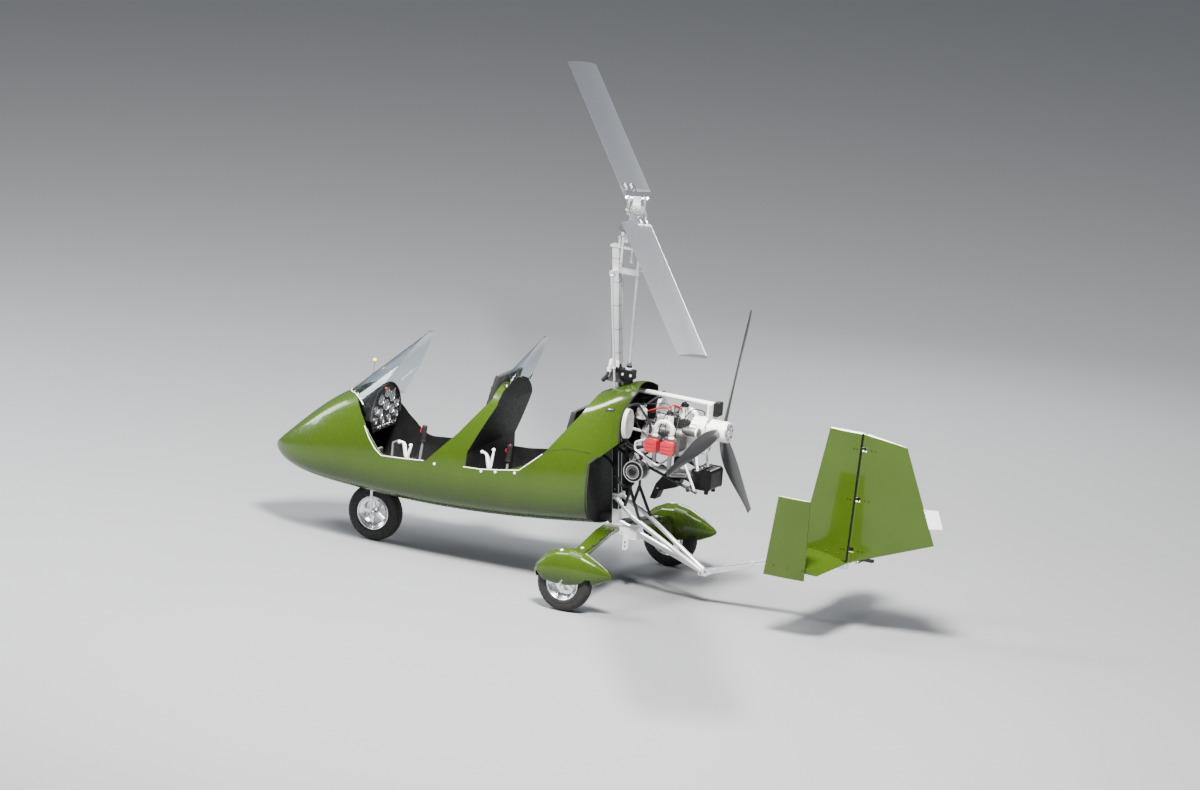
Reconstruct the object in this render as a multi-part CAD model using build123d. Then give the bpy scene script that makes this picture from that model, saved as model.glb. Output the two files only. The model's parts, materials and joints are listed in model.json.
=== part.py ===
from build123d import *
from math import cos, radians, sin, tan
import os

# A two-seat open gyrocopter that stands parked on its three wheels.
# Millimetres. +X is forward, +Y is to the left, +Z is up, and the ground is Z = 0.

os.makedirs("parts", exist_ok=True)

# Wheels
WHEEL_RADIUS = 200
TYRE_WIDTH = 100
TREAD_WIDTH = 64
SHOULDER_HEIGHT = 18
RIM_RADIUS = 114
RIM_WIDTH = 78
RIM_WALL = 5
RIM_DROP = 22
BEAD_SEAT = 12
SPOKE_COUNT = 5
SPOKE_WIDTH = 22
SPOKE_THICK = 14
HUB_RADIUS = 27
AXLE_RADIUS = 12
DISC_RADIUS = 70
DISC_THICK = 5
DISC_OFFSET = 9
RUNNING_GAP = 0.06
NOSE_AXLE_X = 1765
MAIN_AXLE_X = -114
TRACK = 1660

# Nose fork and its steering head
STEER_X = 1797
FORK_LEG_RADIUS = 10
FORK_LEG_Y = 72
# A boss on each leg, and beyond it the pin that a tow bar grips
AXLE_BOSS_RADIUS = 18
AXLE_BOSS_INNER_Y = 58
AXLE_BOSS_Y = 84
TOW_PIN_LENGTH = 30
CROWN_Z = 425
CROWN_THICK = 14
CROWN_MARGIN = 14
BRACKET_REAR = 1420
BRACKET_HALF_WIDTH = 18
BRACKET_HEIGHTS = (500, 545)
STEM_RADIUS = 16
STEERING_HEAD_BOTTOM = 492
STEERING_HEAD_TOP = 580
STEERING_HEAD_WALL = 8

# Hull: its skin, and sections from the nose aft
SKIN = 6
# x, bottom, top, half width, height of the widest point, corner roundness
HULL_SECTIONS = [
    (2552, 524, 572, 24, 548, 0.62),
    (2500, 482, 628, 84, 547, 0.62),
    (2382, 431, 742, 172, 552, 0.60),
    (2203, 395, 905, 255, 572, 0.58),
    (1950, 374, 1075, 322, 605, 0.56),
    (1600, 358, 1212, 368, 640, 0.55),
    (1150, 355, 1290, 386, 665, 0.55),
    (650, 383, 1335, 386, 690, 0.52),
    (150, 436, 1352, 376, 730, 0.48),
    (-80, 462, 1455, 362, 770, 0.48),
    (-270, 475, 1470, 345, 800, 0.50),
]
# The well that the nose wheel turns in
WELL_REAR = 1540
WELL_FRONT = 2010
WELL_HALF_WIDTH = 165
WELL_ROOF = 482
# Side outline of the open cockpits, from the windscreen's foot aft
COCKPIT_EDGE = [
    (1905, 1900), (1905, 1085), (1800, 952), (1732, 864), (1583, 709), (1202, 739), (805, 757),
    (518, 800), (339, 958), (130, 1249), (92, 1335), (92, 1900),
]
COCKPIT_ROUNDING = [20, 60, 60, 120, 80, 400, 400, 120, 260, 60]
# Side outline of the open rear of the hull
REAR_EDGE = [(-6, 300), (-6, 930), (-200, 1110), (-186, 1300), (-262, 1520), (-262, 1900)]
COWL_SEAM = [(339, 958), (170, 1000), (-30, 1000)]

# Cockpit furniture
FIREWALL_X = 36
FIREWALL_THICK = 6
SEAT_BOX_WALL = 5
SEAT_LENGTH = 400
STICK_RADIUS = 9
GRIP_RADIUS = 16
GRIP_LENGTH = 110
PEDAL_Y = 130
# Control sticks: foot x, foot z, top x, top z
STICKS = [(1470, 540, 1448, 760), (800, 466, 786, 740)]
# Hand levers beside the seats: x, top z
LEVERS = [(1400, 790), (760, 820)]
PEDAL_X = 1717
BULKHEAD_EDGE = [
    (1224, 745), (1017, 966), (821, 1225), (802, 1372), (758, 1372), (772, 1189), (925, 850),
    (925, 480), (1060, 480), (1150, 600),
]
BULKHEAD_WALL = 8
SEAT_HALF_WIDTH = 205
SEAT_PAD = 62
# x of the back's foot, height of the base's underside, top of the back, recline in degrees
FRONT_SEAT = (1010, 480, 1390, 14)
REAR_SEAT = (340, 520, 1240, 12)
PANEL_FACE_X = 1752
PANEL_DEPTH = 250
PANEL_HALF_WIDTH = 225
PANEL_BOTTOM = 800
PANEL_TOP = 1125
SCREEN_THICK = 3

# Mast, keel frame and tail boom
TUBE = 50
TUBE_WALL = 3
MAST_FOOT = (-84, 452)
MAST_LEAN = 5.06
MAST_TOP_Z = 2400
KEEL_FRONT = (1470, 412)
KEEL_REAR_Z = 494
BOOM_JOINT = (-777, 234)
BOOM_END = (-1500, 494)
FRAME_TUBE = 32
FRAME_HALF_SPREAD = 95
FRAME_CORNER = (-240, 549)
BOOM_SIZE = 42

# Main gear bow and spats
BOW_THICK = 26
GEAR_TOP_Z = 440
BOW_END_Y = 712
BOW_END_Z = 176
STUB_END_Y = 938
KNUCKLE_RADIUS = 22
SPAT_SKIN = 4
# The opening under a spat: its half width, its ends fore and aft of the axle, and its top
SPAT_SLOT = (68, 205, 215, 260)
# x, bottom, top, half width, height of the widest point, corner roundness
SPAT_SECTIONS = [
    (122, 246, 268, 12, 257, 0.7),
    (108, 222, 300, 40, 262, 0.7),
    (76, 200, 342, 68, 270, 0.7),
    (20, 184, 396, 90, 284, 0.65),
    (-60, 178, 436, 101, 296, 0.6),
    (-160, 178, 448, 102, 300, 0.6),
    (-250, 192, 428, 88, 300, 0.62),
    (-350, 224, 380, 56, 298, 0.66),
    (-430, 262, 332, 24, 296, 0.7),
    (-462, 286, 306, 8, 296, 0.7),
]

# Tail
TAIL_THICK = 56
HINGE_BOTTOM = (-1875, 510)
HINGE_TOP = (-1922, 1425)
HINGE_PIN_RADIUS = 5
FIN_NOSE_BOTTOM = (-1472, 500)
FIN_NOSE_TOP = (-1642, 1398)
RUDDER_TAIL_TOP = (-2232, 1386)
RUDDER_TAIL_BOTTOM = (-2494, 733)
RUDDER_GAP = 6
TIP_FIN_Y = 500
TIP_FIN_THICK = 26
TAILPLANE_NOSE_X = -1490
TAILPLANE_TAIL_X = -1852
TAILPLANE_Z = 505

# Engine
CRANK_Z = 1130
CRANKCASE_FRONT = -300
CRANKCASE_REAR = -615
CRANKCASE_HALF_WIDTH = 95
CYLINDER_X = (-429, -552)
CYLINDER_RADIUS = 52
FIN_RADIUS = 62
PROP_SHAFT_Z = 1245
PROP_X = -830
PROP_BLADES = 3
PROP_HUB_RADIUS = 73
PROP_HUB_FRONT = -745
PROP_HUB_REAR = -875
# Blade sections: radius, chord, pitch in degrees, thickness
PROP_SECTIONS = [(60, 60, 32, 30), (250, 105, 26, 20), (500, 95, 17, 14), (865, 45, 10, 7)]
GEARBOX_REAR = -720
GEARBOX_RADIUS = 75
RIGHT_BANK_SHIFT = 32
HEAD_INNER_Y = 205
HEAD_OUTER_Y = 262
COVER_OUTER_Y = 308
COVER_SIZE = (90, 94)
INTAKE_RADIUS = 17
INTAKE_TOP_Z = 1293
HEADER_RADIUS = 15
COOLANT_RADIUS = 7

SILENCER_CENTRE = (-700, -80, 880)
SILENCER_SIZE = (147, 200, 142)
COOLER_CENTRE = (-205, 275, 1247)
COOLER_HALF = (75, 110)
COOLER_DEPTH = 40
OIL_TANK_CENTRE = (-267, 895)
OIL_TANK_RADIUS = 70
BEARER_Y = 70
# Tubes that carry the engine, on both sides: from x, y, z, to x, y, z, radius
MOUNT_TUBES = [
    (-70, 50, 1000, -198, BEARER_Y, 954, 11),
    (-198, BEARER_Y, 954, -700, BEARER_Y, 797, 11),
    (-30, 12, 1215, -340, 70, 1212, 11),
    (-647, 80, 1210, -702, 80, 957, 9),
    (-566, BEARER_Y, 1040, -688, BEARER_Y, 802, 8),
    (-200, BEARER_Y, 952, -200, BEARER_Y, 730, 9),
    (-200, BEARER_Y, 730, -300, 87, 514, 11),
    (-200, BEARER_Y, 730, -163, 71, 596, 11),
]

# Drive from the engine to the rotor head, for spinning the rotor up on the ground
DRIVE_Y = -90
DRIVE_Z = 1400
DRIVE_RADIUS = 16
DRIVE_FRONT = -110
PULLEY_REAR = -757
LIFT_SHAFT_X = -80
LIFT_SHAFT_RADIUS = 11
LIFT_SHAFT_TOP = 2340
MAST_BRACKET_Z = 2240
PUSHROD_Y = 85
PUSHROD_RADIUS = 8

# Rotor and its head
ROTOR_X = -30
ROTOR_RADIUS = 4200
ROTOR_CHORD = 200
ROTOR_THICK = 25
ROTOR_AZIMUTH = 122
BLADE_ROOT = 470
HUB_BAR_LENGTH = 1160
HUB_BAR_WIDTH = 90
HUB_BAR_THICK = 36
GRIP_THICK = 12
HUB_BAR_Z = 2706
TEETER_Z = 2766
PITCH_AXIS = (8, 2470)
RING_GEAR_Z = 2546
RING_GEAR_RADIUS = 105
RING_GEAR_TEETH = 48
TOOTH_DEPTH = 7
ROLL_PIN = 8
EAR_RISE = 15
HEAD_PLATE_RISE = 46
SPINDLE_RADIUS = 18
SPINDLE_TOP = 2646
SLEEVE_RADIUS = 42
TEETER_PIN = 9


def block(x0, x1, y0, y1, z0, z1):
    """A box between two corners."""
    return Pos((x0 + x1) / 2, (y0 + y1) / 2, (z0 + z1) / 2) * Box(abs(x1 - x0), abs(y1 - y0), abs(z1 - z0))


def rod(start, end, radius, bore=0):
    """A round bar between two points, or a tube where it has a bore."""
    start, end = Vector(*start), Vector(*end)
    plane = Plane(origin=start, z_dir=end - start)
    face = Circle(radius) if not bore else Circle(radius) - Circle(bore)
    return extrude(plane * face, amount=(end - start).length)


def square_tube(start, end, size, wall=0):
    """A square tube between two points in a plane of constant Y, or solid bar with no wall."""
    start, end = Vector(*start), Vector(*end)
    plane = Plane(origin=start, x_dir=(0, 1, 0), z_dir=end - start)
    face = Rectangle(size, size)
    if wall:
        face -= Rectangle(size - 2 * wall, size - 2 * wall)
    return extrude(plane * face, amount=(end - start).length)


def side_prism(outline, y0, y1, rounding=None):
    """A side outline of (x, z) points, rounded at its corners and extruded from y0 to y1."""
    points = [(x, y0, z) for x, z in outline]
    if rounding is None:
        wire = Wire.make_polygon(points, close=True)
    else:
        edge = FilletPolyline(*points, radius=rounding)
        wire = Wire([*edge.edges(), Edge.make_line(points[-1], points[0])])
    return extrude(Face(wire), amount=y1 - y0, dir=(0, 1, 0))


def quarter(width, height, roundness):
    """Points round one quarter of a section, whose three arcs meet in tangent."""
    turn = radians(25)
    corner = roundness * min(width, height)
    a, b, c = 1 - cos(turn), cos(turn) - sin(turn), sin(turn)
    across, along = width - corner * b, height - corner * b
    side = (across * a - along * c) / (a * a - c * c)
    base = (along * a - across * c) / (a * a - c * c)
    points = []
    for angle in (0, turn / 2, turn, radians(45), radians(90) - turn, radians(90) - turn / 2, radians(90)):
        first = min(angle, turn)
        middle = min(max(angle, turn), radians(90) - turn)
        last = max(angle, radians(90) - turn)
        inward = side * (1 - cos(first)) + corner * (cos(turn) - cos(middle)) + base * (c - cos(last))
        rise = side * sin(first) + corner * (sin(middle) - sin(turn)) + base * (sin(last) - cos(turn))
        points.append((width - inward, rise))
    return points


def section(row, inset=0, y=0):
    """A closed section of a hull or spat: twelve arcs round its bottom, sides and top."""
    x, bottom, top, half_width, widest, roundness = row
    upper = quarter(half_width - inset, top - inset - widest, roundness)
    lower = quarter(half_width - inset, widest - bottom - inset, roundness)
    ring = [(px, pz) for px, pz in upper] + [(-px, pz) for px, pz in upper[-2::-1]]
    ring += [(-px, -pz) for px, pz in lower[1:]] + [(px, -pz) for px, pz in lower[-2::-1]]
    points = [(x, y + py, widest + pz) for py, pz in ring]
    arcs = [Edge.make_three_point_arc(*points[i:i + 3]) for i in range(0, len(points) - 1, 2)]
    return Wire(arcs)


def pod(rows, inset=0, y=0, open_by=0, ruled=False):
    """A body through its sections, or its hollow where an inset is given."""
    if inset:
        (nose, *first), (tail, *last) = rows[0], rows[-1]
        rows = [(nose - inset, *first), *rows[1:-1], (tail + inset - open_by, *last)]
    return Solid.make_loft([section(row, inset, y) for row in rows], ruled)


def mirrored(shape):
    return mirror(shape, about=Plane.XZ)


def mast_x(z):
    return MAST_FOOT[0] + (z - MAST_FOOT[1]) * tan(radians(MAST_LEAN))


def make_wheel(x, y, disc_side=0):
    """A tyre and its spoked rim, standing on the ground, with a brake disc on one side if asked."""
    half, rim_half = TYRE_WIDTH / 2, RIM_WIDTH / 2
    side = [(RIM_RADIUS, half), (WHEEL_RADIUS - SHOULDER_HEIGHT, half), (WHEEL_RADIUS, TREAD_WIDTH / 2)]
    outline = [(r, -t) for r, t in side] + side[::-1]
    tyre = revolve(Plane.XZ * make_face(Polyline(*outline, close=True)), Axis.Z)
    drop = RIM_RADIUS - RIM_DROP
    seat, foot = rim_half - BEAD_SEAT, rim_half - 1.5 * BEAD_SEAT
    outline = [
        (RIM_RADIUS, -rim_half), (RIM_RADIUS, -seat), (drop, -foot), (drop, foot), (RIM_RADIUS, seat),
        (RIM_RADIUS, rim_half), (RIM_RADIUS - RIM_WALL, rim_half), (drop - RIM_WALL, foot + 2),
        (drop - RIM_WALL, -foot - 2), (RIM_RADIUS - RIM_WALL, -rim_half),
    ]
    barrel = revolve(Plane.XZ * make_face(Polyline(*outline, close=True)), Axis.Z)
    spoke = Pos((drop + HUB_RADIUS - RIM_WALL) / 2, 0, 0) * Box(drop - HUB_RADIUS, SPOKE_WIDTH, SPOKE_THICK)
    spokes = [Rot(0, 0, 360 / SPOKE_COUNT * i) * spoke for i in range(SPOKE_COUNT)]
    rim = barrel + Cylinder(HUB_RADIUS, RIM_WIDTH) + spokes
    if disc_side:
        rim += Pos(0, 0, disc_side * (rim_half + DISC_OFFSET)) * Cylinder(DISC_RADIUS, DISC_THICK)
        rim += Pos(0, 0, disc_side * rim_half) * Cylinder(HUB_RADIUS, 2 * DISC_OFFSET)
    rim -= Cylinder(AXLE_RADIUS + RUNNING_GAP, 2 * TYRE_WIDTH)
    place = Pos(x, y, WHEEL_RADIUS) * Rot(90, 0, 0)
    return place * tyre, place * rim


def make_hull():
    """The monocoque tub, open above and aft, the cowl behind the rear seat, and the nose wheel's well."""
    outer = pod(HULL_SECTIONS)
    inner = pod(HULL_SECTIONS, SKIN, open_by=30)
    cockpits = side_prism(COCKPIT_EDGE, -600, 600, COCKPIT_ROUNDING)
    rear_edge = side_prism([*REAR_EDGE, (-600, 1900), (-600, 300)], -600, 600)
    shell = outer - inner - cockpits - rear_edge
    cowl_zone = side_prism([*COWL_SEAM, (-600, 1000), (-600, 1900), (339, 1900)], -600, 600)
    cowl = shell & cowl_zone
    x0, x1, half, roof = WELL_REAR, WELL_FRONT, WELL_HALF_WIDTH, WELL_ROOF
    well = block(x0, x1, -half, half, 300, roof)
    lining = block(x0 - SKIN, x1 + SKIN, -half - SKIN, half + SKIN, 362, roof + SKIN)
    arch = ((lining - well) & inner) - rod((STEER_X, 0, 400), (STEER_X, 0, 700), STEM_RADIUS + SKIN)
    mast_hole = block(LIFT_SHAFT_X - 50, mast_x(DRIVE_Z) + 45, -66, 66, 1250, 1600)
    return shell - cowl_zone - well, cowl - mast_hole, arch, outer, inner


def make_bulkhead(outer, tub, inner):
    """The moulded divider between the cockpits, with cheeks beside the front seat's back."""
    wall = BULKHEAD_WALL
    body = side_prism(BULKHEAD_EDGE, -500, 500) & outer
    x, bottom, top, recline = FRONT_SEAT
    slope = tan(radians(recline))
    reach = SEAT_HALF_WIDTH + 25

    def bucket(shift, half):
        line = [(1500, bottom - 60), (x - shift, bottom - 60), (x - shift, bottom + SEAT_PAD + 1),
                (x - shift - (1500 - bottom - SEAT_PAD - 1) * slope, 1500), (1500, 1500)]
        return side_prism(line, -half, half)

    face = make_face(Polyline(*BULKHEAD_EDGE, close=True))
    side_plane = Plane(origin=(0, 500, 0), x_dir=(1, 0, 0), z_dir=(0, -1, 0))
    hollow = extrude(side_plane * offset(face, -wall), amount=1000)
    hollow = (hollow & inner) - bucket(wall, reach + wall)
    return body - bucket(0, reach) - hollow - tub


def make_seat(x, bottom, back_top, recline):
    """A seat's base and back cushions."""
    base = block(x, x + SEAT_LENGTH, -SEAT_HALF_WIDTH, SEAT_HALF_WIDTH, bottom, bottom + SEAT_PAD)
    foot = (x + SEAT_PAD, bottom + SEAT_PAD + 1)
    lean = (back_top - foot[1]) * tan(radians(recline))
    rear_foot = foot[0] - SEAT_PAD
    outline = [foot, (rear_foot, foot[1]), (rear_foot - lean, back_top), (foot[0] - lean, back_top)]
    back = side_prism(outline, -SEAT_HALF_WIDTH + 15, SEAT_HALF_WIDTH - 15)
    return base, back


def make_seat_boxes(inner, keel_body):
    """Hollow boxes under both seats, and the moulded back behind the rear one."""
    wall, half = SEAT_BOX_WALL, SEAT_HALF_WIDTH
    boxes = []
    for x, bottom, _, _ in (FRONT_SEAT, REAR_SEAT):
        box = block(x, x + SEAT_LENGTH - 10, -half, half, 300, bottom)
        box -= block(x + wall, x + SEAT_LENGTH - 10 - wall, wall - half, half - wall, 300, bottom - wall)
        boxes.append((box & inner) - keel_body)
    x, bottom, back_top, recline = REAR_SEAT
    foot = bottom + SEAT_PAD + 1
    lean = (back_top - foot) * tan(radians(recline))
    outline = [(x, 300), (x, foot), (x - lean, back_top), (x - lean - wall, back_top), (x - wall, foot),
               (x - wall, 300)]
    back = side_prism(outline, -600, 600) & inner
    narrow = block(0, 600, -half, half, 900, back_top) + block(0, 600, -600, 600, 300, 950)
    boxes[1] += (back & narrow) - keel_body
    return boxes


def make_controls(inner, arch, supports):
    """Control sticks, rudder pedals and the hand levers on their side consoles."""
    pieces = []
    for x0, z0, x1, z1 in STICKS:
        grip_end = (x1 - 8, 0, z1 + GRIP_LENGTH)
        stick = rod((x0, 0, z0), (x1, 0, z1), STICK_RADIUS) + rod((x1, 0, z1), grip_end, GRIP_RADIUS)
        pieces.append(stick - supports)
    for x, top in LEVERS:
        console = block(x - 70, x + 70, 262, 500, 585, 640) & inner
        lever = rod((x, 300, 636), (x + 30, 300, top - 60), 7)
        lever += rod((x + 30, 300, top - 60), (x + 42, 300, top), 13)
        pieces.append(console + lever)
    for side in (-1, 1):
        y = side * PEDAL_Y
        pedal = rod((PEDAL_X, y, WELL_ROOF), (PEDAL_X, y, 570), 8)
        pedal += block(PEDAL_X - 6, PEDAL_X + 6, y - 45, y + 45, 560, 690)
        pieces.append(pedal - arch)
    return pieces


def make_firewall(inner, keel_body):
    """The plate between the rear cockpit and the engine bay, in front of the mast."""
    plate = block(FIREWALL_X, FIREWALL_X + FIREWALL_THICK, -600, 600, 300, 1600) & inner
    return plate - keel_body


def make_panel(inner):
    """The instrument pod under the front windscreen, with a round top."""
    with BuildSketch(Plane(origin=(PANEL_FACE_X, 0, 0), x_dir=(0, 1, 0), z_dir=(1, 0, 0))) as face:
        with BuildLine():
            w, top, shoulder, foot = PANEL_HALF_WIDTH, PANEL_TOP, PANEL_BOTTOM + 90, PANEL_HALF_WIDTH - 50
            Line((foot, PANEL_BOTTOM), (w, shoulder))
            ThreePointArc((w, shoulder), (0, top), (-w, shoulder))
            Polyline((-w, shoulder), (-foot, PANEL_BOTTOM), (foot, PANEL_BOTTOM))
        make_face()
    return extrude(face.sketch, amount=PANEL_DEPTH) & inner


def make_screen(foot, top, radius, rear_outline, outer):
    """A clear sheet bent round an axis along its ridge, trimmed to its seat and its rear edge."""
    foot, top = Vector(foot[0], 0, foot[1]), Vector(top[0], 0, top[1])
    along = (top - foot).normalized()
    normal = Vector(-along.Z, 0, along.X)
    if normal.Z < 0:
        normal = normal * -1
    start = foot - along * 500 - normal * radius
    end = top + along * 300 - normal * radius
    sheet = rod(tuple(start), tuple(end), radius, radius - SCREEN_THICK)
    keep = side_prism(rear_outline, -radius - 10, radius + 10)
    return (sheet & keep) - outer


def make_frame(bow):
    """Keel tube, mast, engine bay tubes and the tail boom."""
    foot, top = (MAST_FOOT[0], 0, MAST_FOOT[1]), (mast_x(MAST_TOP_Z), 0, MAST_TOP_Z)
    mast, mast_body = square_tube(foot, top, TUBE, TUBE_WALL), square_tube(foot, top, TUBE)
    keel_ends = (KEEL_FRONT[0], 0, KEEL_FRONT[1]), (MAST_FOOT[0] + 10, 0, KEEL_REAR_Z)
    keel = square_tube(*keel_ends, TUBE, TUBE_WALL) - mast_body
    keel_body = square_tube(*keel_ends, TUBE)
    x, z = BOOM_JOINT
    bay = []
    for side in (-1, 1):
        corner = (FRAME_CORNER[0], side * FRAME_HALF_SPREAD, FRAME_CORNER[1])
        bay.append(rod((-62, side * 40, 658), corner, FRAME_TUBE / 2))
        bay.append(rod(corner, (x, side * 20, z), FRAME_TUBE / 2))
        bay.append(Pos(*corner) * Sphere(FRAME_TUBE / 2))
    lower = square_tube((-100, 0, 466), (x, 0, z), FRAME_TUBE)
    # A clamp holds the gear bow under the foot of the mast.
    top = GEAR_TOP_Z
    clamp = block(-265, -120, -45, 45, 385, 455) + block(-126, -10, -50, 50, top, top + 15)
    clamp += block(-126, -10, -50, 50, top - BOW_THICK - 10, top - BOW_THICK)
    bay_frame = Pos(x, 0, z) * Box(60, 70, 40) + bay + lower + clamp + block(-100, -60, -60, 60, 640, 676)
    bay_frame = bay_frame - mast_body - bow
    boom = square_tube((x, 0, z), (BOOM_END[0], 0, BOOM_END[1]), BOOM_SIZE, TUBE_WALL) - bay_frame
    return mast, keel, bay_frame, boom, mast_body, keel_body


def make_gear():
    """The composite bow that carries the main wheels, with their stub axles."""
    top, end, inside = GEAR_TOP_Z, BOW_END_Y, BOW_END_Y - BOW_THICK
    outline = [(-end, BOW_END_Z), (20 - end, 384), (-205, top), (205, top), (end - 20, 384), (end, BOW_END_Z),
               (inside, BOW_END_Z), (inside - 18, 362), (195, top - BOW_THICK), (-195, top - BOW_THICK),
               (18 - inside, 362), (-inside, BOW_END_Z)]
    points = [(-300, y, z) for y, z in outline]
    edge = FilletPolyline(*points, radius=[60, 200, 200, 60, 1, 1, 40, 180, 180, 40])
    wire = Wire([*edge.edges(), Edge.make_line(points[-1], points[0])])
    band = extrude(Face(wire), amount=400, dir=(1, 0, 0))
    plan = Polyline((2, 0), (-90, end), (-195, end), (-122, 0), (-195, -end), (-90, -end), close=True)
    bow = band & extrude(Pos(0, 0, 100) * make_face(plan), amount=500)
    axles = []
    for side in (-1, 1):
        start = (MAIN_AXLE_X, side * (end - BOW_THICK / 2), WHEEL_RADIUS)
        shoulder = TRACK / 2 - RIM_WIDTH / 2 - 2 * DISC_OFFSET - 4
        axle = rod(start, (MAIN_AXLE_X, side * shoulder, WHEEL_RADIUS), KNUCKLE_RADIUS)
        axle += rod(start, (MAIN_AXLE_X, side * STUB_END_Y, WHEEL_RADIUS), AXLE_RADIUS)
        axles.append(axle - bow)
    return bow, axles


def make_spat(side):
    """A teardrop fairing round a main wheel, open below, that sits on the knuckle and the axle's end."""
    y = side * TRACK / 2
    half_slot, fore, aft, slot_top = SPAT_SLOT
    outer = pod(SPAT_SECTIONS, 0, y, ruled=True)
    inner = pod(SPAT_SECTIONS, SPAT_SKIN, y, ruled=True)
    x = MAIN_AXLE_X
    spat = outer - inner - block(x - aft, x + fore, y - half_slot, y + half_slot, 0, slot_top)
    middle = (x, y, WHEEL_RADIUS)
    spat -= rod((MAIN_AXLE_X, side * BOW_END_Y, WHEEL_RADIUS), middle, KNUCKLE_RADIUS)
    return spat - rod(middle, (MAIN_AXLE_X, side * STUB_END_Y, WHEEL_RADIUS), AXLE_RADIUS)


def make_fork():
    """The steered nose fork: stem, crown and two legs, with the axle and the tow pins at its ends."""
    wide = FORK_LEG_Y + CROWN_MARGIN
    crown = block(NOSE_AXLE_X - 30, STEER_X + 32, -wide, wide, CROWN_Z, CROWN_Z + CROWN_THICK)
    stem = rod((STEER_X, 0, CROWN_Z), (STEER_X, 0, STEERING_HEAD_TOP + 20), STEM_RADIUS)
    end = AXLE_BOSS_Y + TOW_PIN_LENGTH
    fork = crown + stem + rod((NOSE_AXLE_X, -end, WHEEL_RADIUS), (NOSE_AXLE_X, end, WHEEL_RADIUS), AXLE_RADIUS)
    for side in (-1, 1):
        y, inside, outside = side * FORK_LEG_Y, side * AXLE_BOSS_INNER_Y, side * AXLE_BOSS_Y
        leg_top = (NOSE_AXLE_X + CROWN_MARGIN - 2, y, CROWN_Z + 5)
        fork += rod((NOSE_AXLE_X, y, WHEEL_RADIUS), leg_top, FORK_LEG_RADIUS)
        fork += rod((NOSE_AXLE_X, inside, WHEEL_RADIUS), (NOSE_AXLE_X, outside, WHEEL_RADIUS), AXLE_BOSS_RADIUS)
    return fork


def make_steering_head(keel_body):
    """The tube that the fork's stem turns in, on a bracket that stands on the keel tube."""
    outside = STEM_RADIUS + STEERING_HEAD_WALL
    low, high = BRACKET_HEIGHTS
    half = BRACKET_HALF_WIDTH
    bracket = block(BRACKET_REAR, STEER_X, -half, half, low, high)
    bracket += block(BRACKET_REAR, BRACKET_REAR + 2 * half, -half, half, KEEL_FRONT[1], low)
    bracket -= rod((STEER_X, 0, STEERING_HEAD_BOTTOM), (STEER_X, 0, STEERING_HEAD_TOP), outside - 1)
    head = rod((STEER_X, 0, STEERING_HEAD_BOTTOM), (STEER_X, 0, STEERING_HEAD_TOP), outside,
               STEM_RADIUS + RUNNING_GAP)
    return head + bracket - keel_body


def plank(nose, tail, thick, z, tail_thick=6):
    """A streamlined section at one height: a round nose, arched sides and a thin tail."""
    half, back = thick / 2, tail_thick / 2
    round_nose = half * 0.6
    shoulder, middle = nose - round_nose, nose - (nose - tail) * 0.4
    ends = [(shoulder, round_nose), (shoulder, -round_nose), (tail, -back), (tail, back)]
    left, right, low, high = [(x, y, z) for x, y in ends]
    return Wire([
        Edge.make_three_point_arc(left, (nose, 0, z), right),
        Edge.make_three_point_arc(right, (middle, -half, z), low),
        Edge.make_line(low, high),
        Edge.make_three_point_arc(high, (middle, half, z), left),
    ])


def hinge_x(z):
    run = (HINGE_TOP[0] - HINGE_BOTTOM[0]) / (HINGE_TOP[1] - HINGE_BOTTOM[1])
    return HINGE_BOTTOM[0] + (z - HINGE_BOTTOM[1]) * run


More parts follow.
